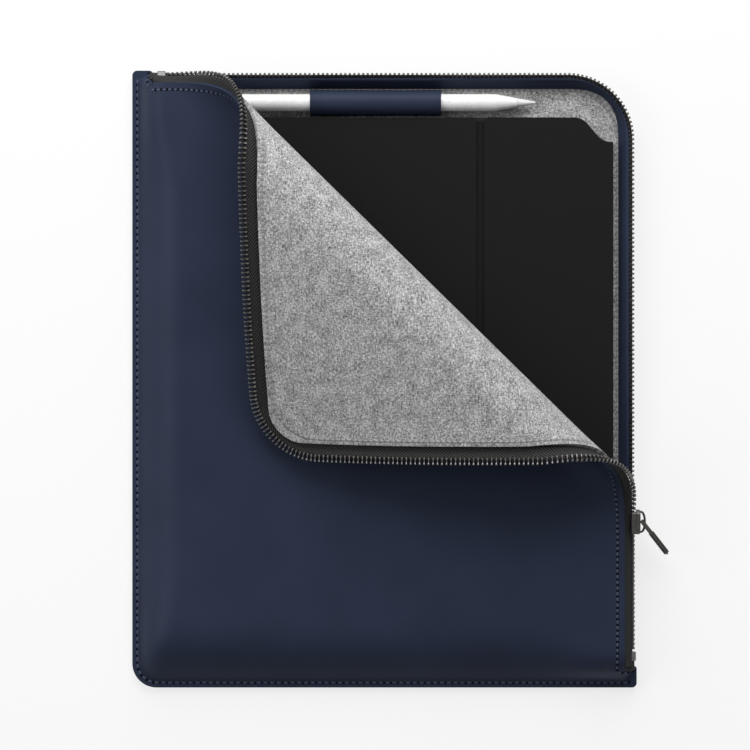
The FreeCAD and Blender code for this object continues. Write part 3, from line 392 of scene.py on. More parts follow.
SIDE_RUN, END_RUN, TAB_RUN = 24.0, 38.0, 7.0
RUN_BY_ZIP = 19.0
NEAR_ZIP_TOP, NEAR_ZIP_FOOT, NEAR_LOW_CORNER = (95, 145), (70, 118), (100, 138)
ZIP_DIP, ZIP_DIP_RUN = 0.9, 22.0
LOW_BAND, SIDE_BAND, EDGE_BAND = 46.0, 28.0, 8.0
TAB_REACH, ROW_GAP = END_TAB + 0.05, 0.02


def ease(value, start, end):
    """Smooth rise from none to one between two values."""
    share = np.clip((np.asarray(value, float) - start) / (end - start), 0, 1)
    return share * share * (3 - 2 * share)


def fall(distance, run, power=3):
    """Share of the height that is still to climb at a distance in from a seam."""
    share = np.clip((np.asarray(distance, float) - SEAM_MARGIN) / run, 0, 1)
    return (1 - share) ** power


def front_height(x, y):
    """Outer face of the closed front: a pillow that drops to the seams and closes over the zip's ends."""
    by_top = ease(y, *NEAR_ZIP_TOP)
    side_run = SIDE_RUN + (RUN_BY_ZIP - SIDE_RUN) * by_top
    end_run = END_RUN + (RUN_BY_ZIP - END_RUN) * ease(x, *NEAR_ZIP_FOOT)
    left = fall(x - LEFT, side_run, 2 + np.maximum(by_top, ease(-y, *NEAR_LOW_CORNER)))
    bottom = fall(y - BOTTOM, end_run)
    right = np.where(y < BOTTOM + TAB_REACH, fall(RIGHT - x, TAB_RUN), 0)
    top = np.where(y > TOP - PANEL_INSET, fall(TOP - y, TAB_RUN), 0)
    drop = np.sqrt(left ** 2 + bottom ** 2 + right ** 2 + top ** 2)
    edge = np.minimum(RIGHT - PANEL_INSET - x, TOP - PANEL_INSET - y)
    dip = ZIP_DIP * np.clip(1 - edge / ZIP_DIP_RUN, 0, 1) ** 2
    return SEAM_TOP + (HEIGHT - SEAM_TOP - dip) * np.clip(1 - drop, 0, 1)


def arc_in(distance, radius):
    """How far a round corner pulls an edge in, at a distance from the corner's end along the other edge."""
    deep = np.clip(radius - distance, 0, radius)
    return radius - np.sqrt(np.clip(radius ** 2 - deep ** 2, 0, None))


def round_steps(radius):
    """Distances from an edge that follow a round corner evenly."""
    return radius * (1 - np.cos(np.linspace(0, math.pi / 2, 13)))


def plan_grid(left, right, bottom, top, low_radius, high_radius, tongue=False):
    """Plan places of a sheet with two round corners, and maybe a tongue at the zip's foot."""
    tab_low = BOTTOM + END_TAB
    rows = [bottom + round_steps(low_radius), top - round_steps(high_radius)]
    rows.append(np.linspace(bottom + low_radius, bottom + LOW_BAND, 24))
    rows.append(np.linspace(bottom + LOW_BAND, top - high_radius, 110))
    if tongue:
        rows.append(BOTTOM + round_steps(TAB_CORNER))
        rows.append(tab_low - round_steps(TAB_CORNER))
        rows.append(np.array([tab_low + ROW_GAP]))
    rows = np.unique(np.round(np.concatenate(rows), 4))
    start = left + arc_in(rows - bottom, low_radius)
    end = right - arc_in(top - rows, high_radius)
    if tongue:
        reach = RIGHT - arc_in(rows - BOTTOM, TAB_CORNER) - arc_in(tab_low - rows, TAB_CORNER / 2)
        end = np.where(rows <= tab_low + ROW_GAP / 2, reach, end)
    inner, outer = left + SIDE_BAND, right - EDGE_BAND
    nominal = spaced((left, inner, 20), (inner, outer, 104), (outer, right, 6))
    share = (nominal - left) / (right - left)
    x = start[:, None] + share[None, :] * (end - start)[:, None]
    y = np.repeat(rows[:, None], len(share), axis=1)
    return x, y


def front_sheet(name, plan, depth, thickness, material):
    """Closed sheet of the front at a depth below its outer face, carried round the bend."""
    x, y = plan
    face = front_height(x, y) - depth
    top = np.stack([x, y, face], axis=2)
    bottom = np.stack([x, y, np.maximum(face - thickness, LEATHER)], axis=2)
    points, faces = slab(top, bottom)
    carried, share = bend(points)
    item = make_object(name, carried, faces, material, points[:, :2])
    blend_to_flap(item)
    return item


def corner_at(inset):
    """Radius of the zipped corner at an inset from the folio's edge."""
    return ZIP_CORNER + ZIP_INSET - inset


def make_front():
    """Leather and felt of the front, each one sheet from the seams to the folded corner."""
    right, top = RIGHT - PANEL_INSET, TOP - PANEL_INSET
    plan = plan_grid(LEFT, right, BOTTOM, top, SEAM_CORNER, corner_at(PANEL_INSET), tongue=True)
    leather = front_sheet("front_leather", plan, 0, LEATHER, LEATHER_FLAT)
    soften_rim(leather, 0.45)
    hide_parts("front_panel", "front_fold", "front_flap")
    inset, low_corner, high_corner = 8.0, 6.0, 17.0
    right, top = RIGHT - LINING_INSET, TOP - LINING_INSET
    plan = plan_grid(LEFT + inset, right, BOTTOM + inset, top, low_corner, high_corner)
    felt = front_sheet("front_felt", plan, LEATHER, FELT, FELT_FLAT)
    soften_rim(felt, 0.6)
    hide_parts("front_lining", "lining_fold", "flap_lining")


def top_tongue(name, base, thickness, face):
    """Leather tongue over the zip's upper end, with two round corners, joined onto a leather sheet."""
    lap = 1.2
    rows = np.unique(np.concatenate([
        np.linspace(TOP - PANEL_INSET - lap, TOP - TAB_CORNER, 10), TOP - round_steps(TAB_CORNER)]))
    pull_in = arc_in(TOP - rows, TAB_CORNER)
    share = np.linspace(0, 1, 16)
    start, end = LEFT + pull_in, LEFT + END_TAB - pull_in
    x = start[:, None] + share[None, :] * (end - start)[:, None]
    y = np.repeat(rows[:, None], len(share), axis=1)
    height = face(x, y)
    top = np.stack([x, y, height], axis=2)
    bottom = np.stack([x, y, np.maximum(height - thickness, base)], axis=2)
    points, faces = slab(top, bottom)
    item = make_object(name, points, faces, LEATHER_FLAT, points[:, :2])
    soften_rim(item, 0.3)
    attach(item, "folio")


def make_top_tongues():
    """Tongues of both sheets, a hair off the sheet they lap so that no two faces lie in one plane."""
    above, below = 0.04, 0.02
    top_tongue("front_tongue", LEATHER, LEATHER, lambda x, y: front_height(x, y) + above)
    top_tongue("back_tongue", 0.0, LEATHER, lambda x, y: np.full_like(x, LEATHER - below))


# Back of the folio

def flat_sheet(name, plan, base, thickness, material, rim):
    """Level sheet of the back, from its lower face up."""
    x, y = plan
    top = np.stack([x, y, np.full_like(x, base + thickness)], axis=2)
    bottom = np.stack([x, y, np.full_like(x, base)], axis=2)
    points, faces = slab(top, bottom)
    item = make_object(name, points, faces, material, points[:, :2])
    soften_rim(item, rim)
    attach(item, "folio")
    return item


def make_back():
    """Leather and felt of the back, each one flat sheet."""
    right, top = RIGHT - PANEL_INSET, TOP - PANEL_INSET
    plan = plan_grid(LEFT, right, BOTTOM, top, SEAM_CORNER, corner_at(PANEL_INSET), tongue=True)
    back = flat_sheet("back_leather", plan, 0, LEATHER, LEATHER_FLAT, 0.45)
    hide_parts("back_panel")
    edge, side, end = PANEL_INSET + 1.1, 8.6, 8.1
    low_corner, high_corner = 3.0, 24.0
    plan = plan_grid(LEFT + side, RIGHT - edge, BOTTOM + end, TOP - edge, low_corner, high_corner)
    felt = flat_sheet("back_felt", plan, LEATHER, FELT, FELT_FLAT, 0.6)
    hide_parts("back_lining")


# Zip: sections across it are pairs of (inset from the folio's edge, height)

LOWER_TAPE = [
    (7.8, 1.4), (7.0, 1.4), (6.3, 3.5), (4.9, 6.6), (3.7, 9.7), (2.75, 11.7), (3.35, 12.1), (4.5, 10.2),
    (5.7, 6.9), (7.1, 3.7),
]
FACING = [
    (9.6, 4.0), (8.9, 4.0), (7.4, 4.2), (5.6, 8.0), (4.3, 10.5), (4.35, 11.1), (4.8, 11.45), (5.4, 11.3),
    (6.2, 10.2), (7.4, 7.8), (8.8, 5.3),
]
UPPER_TAPE = [
    (10.7, 17.3), (8.1, 17.3), (6.6, 16.4), (5.3, 15.6), (3.5, 15.0), (3.3, 15.6), (5.0, 16.3), (6.3, 17.2),
    (7.6, 18.05), (10.7, 18.1),
]
TAPE_END = [
    (1.9, 13.0), (1.8, 14.2), (3.0, 15.3), (5.4, 16.0), (5.6, 15.4), (3.6, 14.2), (3.6, 13.0), (4.9, 10.6),
    (4.3, 10.1),
]
CLAMP = [
    (1.5, 12.1), (1.0, 13.6), (1.5, 15.1), (4.4, 15.9), (4.7, 15.2), (2.7, 14.3), (2.4, 13.6), (2.7, 12.9),
    (4.3, 11.9), (3.9, 11.2),
]
UNDER_LEATHER = PANEL_INSET + 0.5
FACING_PINCH = 0.45


def zip_line(start, foot, step):
    """Places along the zip as (x, y, inward x, inward y), for a line drawn at the folio's outer edge."""
    radius = ZIP_CORNER + ZIP_INSET
    centre = (RIGHT - radius, TOP - radius)
    rows = []
    for x in np.linspace(start, centre[0], max(2, int((centre[0] - start) / step))):
        rows.append((x, TOP, 0.0, -1.0))
    for angle in np.linspace(0, math.pi / 2, 25)[1:]:
        rows.append((
            centre[0] + radius * math.sin(angle), centre[1] + radius * math.cos(angle),
            -math.sin(angle), -math.cos(angle),
        ))
    for y in np.linspace(centre[1], foot, max(2, int((centre[1] - foot) / step)))[1:]:
        rows.append((RIGHT, y, -1.0, 0.0))
    return np.array(rows)


def swept(line, section, pinch=0.0):
    """Strip of one section along the zip, closed at its ends. Pinch narrows it at the corner."""
    inset, height = np.array(section).T
    count = len(section)
    points = []
    for x, y, inward_x, inward_y in line:
        diagonal = (2 * inward_x * inward_y) ** 2
        narrowed = inset - pinch * diagonal * (inset - inset.min())
        points.append(np.column_stack([x + narrowed * inward_x, y + narrowed * inward_y, height]))
    steps = np.concatenate([[0], np.cumsum(np.hypot(*np.diff(line[:, :2], axis=0).T))])
    flat = np.column_stack([np.repeat(steps, count), np.tile(inset + height, len(line))])
    return np.concatenate(points), tube_faces(len(line), count), flat


def along_top(start, end, count):
    """Short run of places along the folio's upper edge."""
    return np.array([(x, TOP, 0.0, -1.0) for x in np.linspace(start, end, count)])


def along_side(start, end, count):
    """Short run of places along the folio's right edge."""
    return np.array([(RIGHT, y, -1.0, 0.0) for y in np.linspace(start, end, count)])


def make_tapes():
    """Woven tape of both halves of the zip, and the leather facing inside the back half."""
    tuck, step = 2.0, 3.0
    line = zip_line(LEFT + END_TAB - tuck, BOTTOM + END_TAB - tuck, step)
    points, faces, flat = swept(line, LOWER_TAPE)
    tape = make_object("zip_tape_lower", points, faces, TAPE_FLAT, flat)
    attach(tape, "folio")
    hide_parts("zip_tape_back")
    points, faces, flat = swept(line, FACING, FACING_PINCH)
    facing = make_object("zip_inner_facing", points, faces, LEATHER_FLAT, flat)
    soften_rim(facing, 0.15)
    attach(facing, "folio")
    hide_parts("zip_facing")
    gap, tuck, step, buried = 0.4, 0.2, 1.5, 0.7 * LEATHER
    line = zip_line(LEFT + END_TAB + gap, BOTTOM + END_TAB - tuck, step)
    points, faces, flat = swept(line, UPPER_TAPE)
    under = np.tile(np.array([inset > UNDER_LEATHER for inset, _ in UPPER_TAPE]), len(line))
    cover = front_height(points[:, 0], points[:, 1]) - buried
    points[:, 2] = np.where(under, np.minimum(points[:, 2], cover), points[:, 2])
    carried, share = bend(points, eased=True)
    front = make_object("zip_tape_upper", carried, faces, TAPE_FLAT, flat)
    blend_to_flap(front)
    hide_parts("zip_tape_front", "zip_tape_fold", "zip_tape_flap")


def make_tape_ends():
    """Tape turned in between the two halves where the zip starts and ends."""
    tuck, top_lap, foot_lap = 1.5, 1.0, 2.0
    runs = {
        "tape_end_top": along_top(LEFT + END_TAB - tuck, ZIP_START + top_lap, 6),
        "tape_end_foot": along_side(ZIP_FOOT + foot_lap, BOTTOM + END_TAB - tuck, 6),
    }
    for name, line in runs.items():
        points, faces, flat = swept(line, TAPE_END)
        item = make_object(name, points, faces, TAPE_FLAT, flat)
        soften_rim(item, 0.2)
        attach(item, "folio")


def tooth_shape(setback, thick):
    """Tooth with a round head near the origin, a narrow waist and a foot that grips the tape."""
    outline = [
        (0.30, -0.02), (0.58, -0.3), (0.62, -0.9), (0.42, -1.3), (0.24, -1.6), (0.22, -2.2), (0.44, -2.55),
        (0.64, -2.9), (0.64, -3.75), (0.36, -4.1),
    ]
    outline += [(-x, y) for x, y in reversed(outline)]
    rings = ((-1.0, 0.62), (-0.6, 1.0), (0.6, 1.0), (1.0, 0.62))
    middle, end_share = np.array([0, -2.0]), 0.3
    waist_start, waist_end, waist_share = -2.3, -1.5, 0.62
    points = []
    for height, scale in rings:
        for place in outline:
            x, y = (np.array(place) - middle) * (scale, 1 - (1 - scale) * end_share) + middle
            waist = waist_share if waist_start < y < waist_end else 1.0
            points.append((x, y - setback, height * thick * waist))
    return np.array(points), tube_faces(len(rings), len(outline), flip=True)


def zip_place(distance):
    """Point and bearing on the line where the zip's halves meet, at a distance from its start."""
    top, right = TOP - ZIP_INSET, RIGHT - ZIP_INSET
    straight = right - ZIP_CORNER - ZIP_START
    curve = ZIP_CORNER * math.pi / 2
    if distance < straight:
        return np.array([ZIP_START + distance, top, ZIP_HEIGHT]), 0.0
    if distance < straight + curve:
        angle = (distance - straight) / ZIP_CORNER
        x = right - ZIP_CORNER + ZIP_CORNER * math.sin(angle)
        y = top - ZIP_CORNER + ZIP_CORNER * math.cos(angle)
        return np.array([x, y, ZIP_HEIGHT]), -angle
    return np.array([right, top - ZIP_CORNER - (distance - straight - curve), ZIP_HEIGHT]), -math.pi / 2


def zip_span():
    """Length of the zip from its start to its foot."""
    top, right = TOP - ZIP_INSET, RIGHT - ZIP_INSET
    return (right - ZIP_CORNER - ZIP_START) + ZIP_CORNER * math.pi / 2 + (top - ZIP_CORNER - ZIP_FOOT)


def place_tooth(points, tilt, place, bearing):
    """Tooth tilted with its tape and set on the zip."""
    return turned(turned(points, tilt, 1, 2), bearing, 0, 1) + place


def make_teeth():
    """Row of metal teeth on each half of the zip, half a pitch apart."""
    lower_shape, faces = tooth_shape(0.8, 0.75)
    upper_shape, faces = tooth_shape(0.1, 0.95)
    count = int(zip_span() / TOOTH_PITCH - 0.5)
    lower, upper, shares = [], [], []
    for index in range(count):
        place, bearing = zip_place((index + LOWER_PHASE) * TOOTH_PITCH)
        lower.append((place_tooth(lower_shape, BACK_TILT, place, bearing), faces))
        place, bearing = zip_place((index + UPPER_PHASE) * TOOTH_PITCH)
        points, share = bend_rigid(place_tooth(upper_shape, FRONT_TILT, place, bearing), place, True)
        upper.append((points, faces))
        shares.extend([share] * len(points))
    points, joined = join_parts(lower)
    row = make_object("zip_teeth_lower", points, joined, GUNMETAL, smooth=False)
    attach(row, "folio")
    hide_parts("zip_teeth_back")
    points, joined = join_parts(upper)
    row = make_object("zip_teeth_upper", points, joined, GUNMETAL, smooth=False)
    blend_to_flap(row)
    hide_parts("zip_teeth_front", "zip_teeth_fold", "zip_teeth_flap")


# Stylus loop

def make_loop():
    """Leather sleeve over the stylus, with a sewn wing on each side."""
    row, height, inner, wall, wing = 142.1, 8.75, 4.75, 1.2, 0.7
    start, end, wing_edge, wing_root = -38.3, 29.0, FLOOR + 0.9, FLOOR + 1.6
    outer = inner + wall
    root, tip = outer + 0.1, outer + wing
    angles = np.linspace(0, math.pi, 25)
    outside = [(row + tip, FLOOR), (row + tip, wing_edge), (row + root, wing_root)]
    outside += [(row + outer * math.cos(a), height + outer * math.sin(a)) for a in angles]
    outside += [(row - root, wing_root), (row - tip, wing_edge), (row - tip, FLOOR)]
    inside = [(row - inner, FLOOR)]
    inside += [(row - inner * math.cos(a), height + inner * math.sin(a)) for a in angles]
    inside += [(row + inner, FLOOR)]
    section = outside + inside
    stations = np.linspace(start, end, 24)
    count, half = len(section), len(outside)
    points = [(x, y, z) for x in stations for y, z in section]
    faces = tube_faces(len(stations), count, caps=False)
    facing = [half + round((1 - index / (half - 1)) * (len(inside) - 1)) for index in range(half)]
    for base, flip in ((0, True), ((len(stations) - 1) * count, False)):
        for first in range(half - 1):
            face = [base + first, base + first + 1, base + facing[first + 1], base + facing[first]]
            if facing[first] == facing[first + 1]:
                face = face[:3]
            faces.append(tuple(face[::-1] if flip else face))
    flat = [(x, y + z) for x in stations for y, z in section]
    item = make_object("stylus_sleeve", points, faces, LEATHER_FLAT, flat)
    soften_rim(item, 0.3)
    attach(item, "folio")
    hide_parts("stylus_loop")


# Stitching

def capsule():
    """Small rounded bar along X, one unit long and one across, centred on the origin."""
    rings = ((-0.5, 0.35), (-0.32, 0.85), (0.0, 1.0), (0.32, 0.85), (0.5, 0.35))
    sides = 8
    points = []
    for x, scale in rings:
        for side in range(sides):
            angle = 2 * math.pi * side / sides
            points.append((x, 0.5 * scale * math.cos(angle), 0.5 * scale * math.sin(angle)))
    return np.array(points), tube_faces(len(rings), sides, flip=True)


def seam_points(path, pitch):
    """Evenly spaced places and headings along a plan path of straight pieces."""
    path = np.asarray(path, float)
    lengths = np.hypot(*np.diff(path, axis=0).T)
    total = lengths.sum()
    count = max(1, round(total / pitch))
    marks = np.concatenate([[0], np.cumsum(lengths)])
    found = []
    for index in range(count):
        distance = (index + 0.5) * total / count
        piece = min(np.searchsorted(marks, distance) - 1, len(lengths) - 1)
        share = (distance - marks[piece]) / lengths[piece]
        place = path[piece] + share * (path[piece + 1] - path[piece])
        heading = path[piece + 1] - path[piece]
        found.append((place, math.atan2(heading[1], heading[0])))
    return found


def oriented(points, sizes, place, heading):
    """Unit shape scaled, turned to its heading and set in place."""
    return turned(points * np.array(sizes), heading, 0, 1) + np.asarray(place)


def stitch_seam(name, paths, pitch, height_at, finish, bent=False, side=1):
    """Thread, with a dark mark of painted shade at each puncture, along plan paths, on a surface whose
    height is given by a function.
    """
    thread, hole_shade, slot_name = finish
    shape, faces = capsule()
    thread_sizes, hole_shade_sizes, proud = (0.62 * pitch, 1.1, 0.5), (1.35, 1.9, 0.3), 0.06
    threads, hole_shades, thread_share, hole_shade_share = [], [], [], []
    for path in paths:
        for place, heading in seam_points(path, pitch):
            height = float(height_at(place[0], place[1]))
            centre = np.array([place[0], place[1], height])
            step = np.array([math.cos(heading), math.sin(heading), 0]) * pitch / 2
            bar = oriented(shape, thread_sizes, centre + (0, 0, side * proud), heading)
            end = centre + step
            end[2] = float(height_at(end[0], end[1]))
            # Dark mark of painted shade where the thread dives into the sheet.
            pit = oriented(shape, hole_shade_sizes, end, heading)
            for points, kept, shares in ((bar, threads, thread_share), (pit, hole_shades, hole_shade_share)):
                points, share = bend_rigid(points, centre, False) if bent else (points, 0.0)
                kept.append((points, faces))
                shares.extend([share] * len(points))
    for suffix, parts, shares, material in (
        ("thread", threads, thread_share, thread), ("hole_shades", hole_shades, hole_shade_share, hole_shade),
    ):
        points, joined = join_parts(parts)
        item = make_object(f"{name}_{suffix}", points, joined, material)
        if bent:
            blend_to_flap(item)
        else:
            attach(item, "folio")


def inset_path(inset, start, foot):
    """Plan path at an inset from the zipped edges, from the upper left round to the lower right."""
    line = zip_line(start, foot, 1.0)
    return line[:, :2] + line[:, 2:] * inset


def make_stitching():
    """Seams of the leather, the two end tabs, the zip's edge and the felt."""
    inset, tab_inset, zip_inset, felt_inset, pocket_inset = 2.7, 8.6, 10.9, 13.4, 10.1
    clear, tab_clear, tab_start, back_face = 4.0, 1.6, 9.4, 0.1
    zip_end, pocket_end, flap_start, flap_end = 10.0, 14.0, -40.0, -20.0
    reach = SEAM_CORNER - inset
    corner = [
        (LEFT + SEAM_CORNER - reach * math.cos(a), BOTTOM + SEAM_CORNER - reach * math.sin(a))
        for a in np.linspace(0, math.pi / 2, 13)]
    seam = [(LEFT + inset, TOP - clear), *corner, (RIGHT - clear, BOTTOM + inset)]
    on_leather = (THREAD, PUNCTURE_SHADE, "navy_leather")
    on_felt = (FELT_THREAD, FELT_DIMPLE_SHADE, "grey_felt")
    stitch_seam("seam", [seam], SEAM_PITCH, front_height, on_leather)
    stitch_seam("back_seam", [seam], SEAM_PITCH, lambda x, y: back_face, on_leather, side=-1)
    ends = [
        [(RIGHT - END_TAB, BOTTOM + tab_inset), (RIGHT - tab_clear, BOTTOM + tab_inset)],
        [(LEFT + tab_inset, TOP - tab_start), (LEFT + tab_inset, TOP - tab_clear)],
    ]
    stitch_seam("tab_seam", ends, ZIP_SEAM_PITCH, front_height, on_leather)
    zip_edge = [inset_path(zip_inset, LEFT + zip_end, BOTTOM + zip_end)]
    stitch_seam("zip_seam", zip_edge, ZIP_SEAM_PITCH, front_height, on_leather, bent=True)
    under = HEIGHT - LEATHER - FELT - ZIP_DIP / 2
    flap_edge = [inset_path(felt_inset, flap_start, flap_end)]
    stitch_seam("felt_seam", flap_edge, ZIP_SEAM_PITCH, lambda x, y: under, on_felt, bent=True, side=-1)
    pocket_edge = [inset_path(pocket_inset, LEFT + pocket_end, BOTTOM + pocket_end)]
    stitch_seam("back_felt_seam", pocket_edge, ZIP_SEAM_PITCH, lambda x, y: FLOOR, on_felt)


# Rigid pieces

def dress(node, material, rim=0.0, segments=2):
    """Material, and maybe a softer rim, for a piece that keeps its solid shape."""
    item = nodes[node]
    item.data.materials.clear()
    item.data.materials.append(material)
    if rim:
        soften_rim(item, rim, segments)


def extruded(outline, low, high, place, along, across):
    """Flat plate from an outline of (along, across) pairs, between two levels of its own normal."""
    along, across = np.array(along, float), np.array(across, float)
    normal = np.cross(along, across)
    points = [
        np.array(place) + s * along + t * across + level * normal
        for level in (low, high) for s, t in outline]
    return np.array(points), tube_faces(2, len(outline))


def pull_outline(inset):
    """Long plate with a round far end."""
    wide, far, root, corner = 3.5 - inset, 21.0 - inset, 7.0, 2.4
    turns = np.linspace(0, math.pi / 2, 7)
    upper = [(far - corner + corner * math.cos(a), wide - corner + corner * math.sin(a)) for a in turns]
    upper.append((root, wide))
    return [(s, -t) for s, t in reversed(upper)] + upper


def make_pull():
    """Pull tab: two skins on a wider core, on a fork whose pin sits behind the bridge."""
    place, angle = (132.25, SLIDER_PLACE, ZIP_HEIGHT), math.radians(-52)
    along, across = (math.cos(angle), math.sin(angle), 0), (0, 0, 1)
    thick, core, arm, pin, skin_inset, lap = 1.4, 0.6, 1.0, 0.45, 0.6, 0.05
    pin_outline = [(-0.9, -3.0), (-0.1, -3.0), (-0.1, 3.0), (-0.9, 3.0)]
    upper_arm = [(-0.9, 2.0), (8.0, 2.0), (8.0, 3.3), (-0.9, 3.0)]
    lower_arm = [(s, -t) for s, t in reversed(upper_arm)]
    skin = pull_outline(skin_inset)
    layers = [
        (skin, -thick, lap - core), (pull_outline(0.0), -core, core), (skin, core - lap, thick),
        (pin_outline, -pin, pin), (upper_arm, -arm, arm), (lower_arm, -arm, arm),
    ]
    parts = [extruded(outline, low, high, place, along, across) for outline, low, high in layers]
    item = make_object("pull_plate", *join_parts(parts), DARK_METAL, smooth=False)
    soften_rim(item, 0.3, 3)
    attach(item, "pull")
    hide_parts("pull_tab")


def slider_outline(half_length, half_width):
    """Plate outline of the slider, narrower at its foot than at its mouth."""
    outline = []
    for angle in np.linspace(0, 2 * math.pi, 32, endpoint=False):
        cosine, sine = math.cos(angle), math.sin(angle)
        along = half_length * math.copysign(abs(cosine) ** 0.45, cosine)
        across = half_width * math.copysign(abs(sine) ** 0.6, sine)
        outline.append((along, across * (1 + 0.08 * along / half_length)))
    return outline


def make_slider():
    """Slider: an outer plate with a raised face, and a flange above and below the zip."""
    inner, plate, face, lap = 128.9, 130.7, 131.0, 0.1
    upper_flange, lower_flange, set_back = (4.2, 126.4), (-4.5, 127.9), 0.6
    layers = [
        (slider_outline(6.4, 5.6), inner, plate),
        (slider_outline(5.2, 4.4), plate - lap, face),
    ]
    for level, reach in (upper_flange, lower_flange):
        flange = [(a - set_back, t + level) for a, t in slider_outline(5.6, 1.1)]
        layers.append((flange, reach, inner + lap))
    middle, along, across = (0, SLIDER_PLACE, ZIP_HEIGHT + 0.7), (0, 1, 0), (0, 0, 1)
    parts = [extruded(outline, low, high, middle, along, across) for outline, low, high in layers]
    item = make_object("slider_shell", *join_parts(parts), DARK_METAL, smooth=False)
    soften_rim(item, 0.25, 3)
    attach(item, "slider")
    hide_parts("slider_body")


def make_bridge():
    """Arched bridge that holds the pull on the slider."""
    half, base, height, thick, wide = 5.2, 130.6, 2.9, 0.6, 1.7
    steps = np.linspace(0, math.pi, 25)
    ring = np.linspace(0, 2 * math.pi, 12, endpoint=False)
    path = [(base + height * math.sin(a) ** 0.6, SLIDER_PLACE + half * math.cos(a)) for a in steps]
    points = []
    for index, (x, y) in enumerate(path):
        before, after = path[max(index - 1, 0)], path[min(index + 1, len(path) - 1)]
        ahead = np.array([after[0] - before[0], after[1] - before[1]])
        ahead = ahead / np.hypot(*ahead)
        for turn in ring:
            lift = thick * math.cos(turn)
            points.append((x - ahead[1] * lift, y + ahead[0] * lift, ZIP_HEIGHT + wide * math.sin(turn)))
    item = make_object("slider_arch", points, tube_faces(len(path), len(ring)), DARK_METAL)
    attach(item, "slider")
    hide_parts("slider_bridge")


def make_stops():
    """Small metal clamps round both tapes at the ends of the zip."""
    runs = {
        "top_clamp": ("zip_top_stop", along_top(*TOP_STOP, 4)),
        "bottom_clamp": ("zip_bottom_stop", along_side(*BOTTOM_STOP, 4)),
    }
    for name, (node, line) in runs.items():
        points, faces = swept(line, CLAMP)[:2]
        item = make_object(name, points, faces, GUNMETAL, smooth=False)
        soften_rim(item, 0.3, 3)
        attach(item, "folio")
        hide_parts(node)


def dress_rigid():
    """Materials of the stylus, the keyboard cover and its keys, which keep their solid shapes."""
    white = plastic_material("white_gloss", (0.86, 0.86, 0.86), 0.22, 400, 0.0)
    nib = plastic_material("white_nib", (0.72, 0.72, 0.72), 0.45, 900, 0.05)
    lining = plastic_material("dark_lining", (0.02, 0.02, 0.022), 0.9, 1500, 0.3, specular=0.2)
    deck = plastic_material("deck_black", (0.014, 0.014, 0.014), 0.6, 1500, 0.1)
    keys = plastic_material("key_black", (0.02, 0.02, 0.021), 0.55, 2200, 0.1)
    membrane = plastic_material("membrane", (0.025, 0.025, 0.027), 0.8, 900, 0.1)
    nickel = metal_material("nickel", (0.55, 0.54, 0.52), 0.3)
    gold = metal_material("gold", (0.8, 0.6, 0.28), 0.3)
    dress("stylus_barrel", white)
    dress("stylus_nib", nib)
    for node in ("cover_wide_panel", "cover_narrow_panel"):
        dress(node, COVER, 0.7, 3)
    for node in ("cover_groove_web", "cover_spine", "keyboard_base"):
        dress(node, COVER)
    dress("cover_inner_lining", lining)
    dress("keyboard_deck", deck)
    dress("keycaps", keys, 0.3)
    dress("key_membrane", membrane)
    dress("cover_magnets", nickel)
    dress("cover_contacts", gold)


# Stage

WORLD_LEVEL = 0.15
FLOOR_GLOW = 0.76


def background_rays(tree):
    """One for the rays that see the white background, none for the rays that light the object."""
    path = tree.nodes.new("ShaderNodeLightPath")
    seen = math_node(tree, "MAXIMUM", path.outputs["Is Camera Ray"], path.outputs["Is Glossy Ray"])
    return math_node(tree, "MAXIMUM", seen, path.outputs["Is Transmission Ray"])


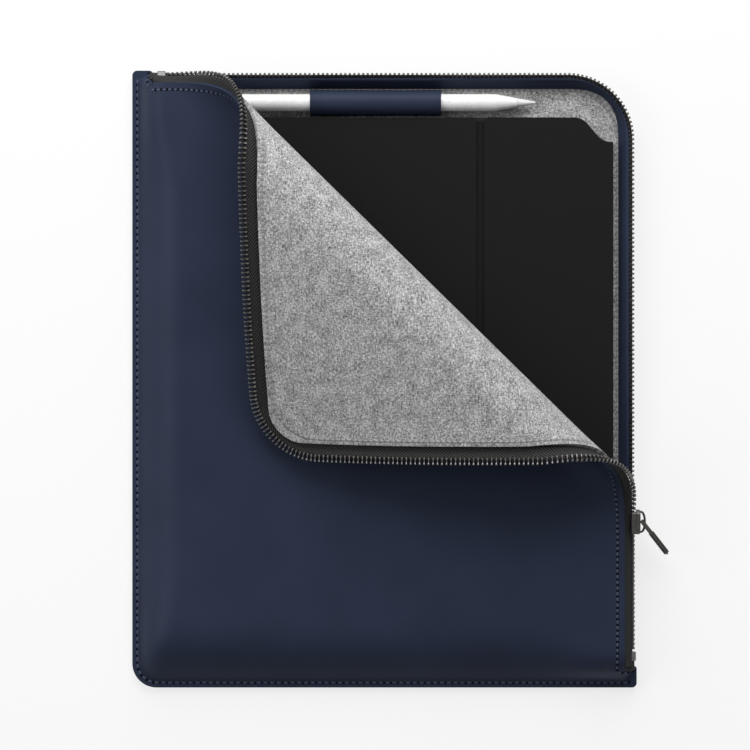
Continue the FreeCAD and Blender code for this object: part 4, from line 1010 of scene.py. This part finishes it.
def make_floor():
    """Pale floor just below the thread of the back seam, part lit and part glowing white."""
    size, level = 3.0, -0.0004
    mesh = bpy.data.meshes.new("floor")
    corners = [(-size, -size, level), (size, -size, level), (size, size, level), (-size, size, level)]
    mesh.from_pydata(corners, [], [(0, 1, 2, 3)])
    material = bpy.data.materials.new("floor")
    material.use_nodes = True
    tree = material.node_tree
    shader = tree.nodes["Principled BSDF"]
    shader.inputs["Base Color"].default_value = (0.97, 0.97, 0.97, 1)
    shader.inputs["Roughness"].default_value = 1.0
    shader.inputs["Specular IOR Level"].default_value = 0.0
    glow = tree.nodes.new("ShaderNodeEmission")
    glow.inputs["Strength"].default_value = 1.0
    mix = tree.nodes.new("ShaderNodeMixShader")
    share = math_node(tree, "MULTIPLY", background_rays(tree), FLOOR_GLOW)
    tree.links.new(share, mix.inputs["Fac"])
    tree.links.new(shader.outputs["BSDF"], mix.inputs[1])
    tree.links.new(glow.outputs["Emission"], mix.inputs[2])
    tree.links.new(mix.outputs["Shader"], tree.nodes["Material Output"].inputs["Surface"])
    mesh.materials.append(material)
    item = bpy.data.objects.new("floor", mesh)
    bpy.context.scene.collection.objects.link(item)


def make_light(name, place, size, power):
    """Soft lamp aimed at the middle of the folio's back."""
    data = bpy.data.lights.new(name, "AREA")
    data.shape = "RECTANGLE"
    data.size, data.size_y = size
    data.energy = power
    lamp = bpy.data.objects.new(name, data)
    lamp.location = place
    lamp.rotation_euler = (-Vector(place)).to_track_quat("-Z", "Y").to_euler()
    lamp.visible_camera = False
    bpy.context.scene.collection.objects.link(lamp)


def make_stage():
    """Floor, a world that is seen white but lights the object weakly, and two lamps."""
    make_floor()
    world = bpy.data.worlds.new("studio")
    bpy.context.scene.world = world
    world.use_nodes = True
    tree = world.node_tree
    background = tree.nodes["Background"]
    background.inputs["Color"].default_value = (1, 1, 1, 1)
    extra = math_node(tree, "MULTIPLY", background_rays(tree), 1 - WORLD_LEVEL)
    level = math_node(tree, "ADD", extra, WORLD_LEVEL)
    tree.links.new(level, background.inputs["Strength"])
    make_light("key", place=(0.05, 1.15, 0.8), size=(1.5, 1.1), power=25)
    make_light("fill", place=(-1.3, 0.2, 0.9), size=(0.9, 0.9), power=8)


def make_camera():
    """Long lens straight above the folio."""
    data = bpy.data.cameras.new("camera")
    data.lens, data.sensor_width = 200, 36
    data.clip_end = 20
    camera = bpy.data.objects.new("camera", data)
    camera.location = (-0.0049, 0.0021, 2.1507)
    bpy.context.scene.collection.objects.link(camera)
    bpy.context.scene.camera = camera


make_camera()
make_front()
make_top_tongues()
make_back()
make_tapes()
make_tape_ends()
make_teeth()
make_loop()
make_stitching()
make_slider()
make_pull()
make_bridge()
make_stops()
dress_rigid()
make_stage()
bpy.context.scene.view_settings.view_transform = "Standard"
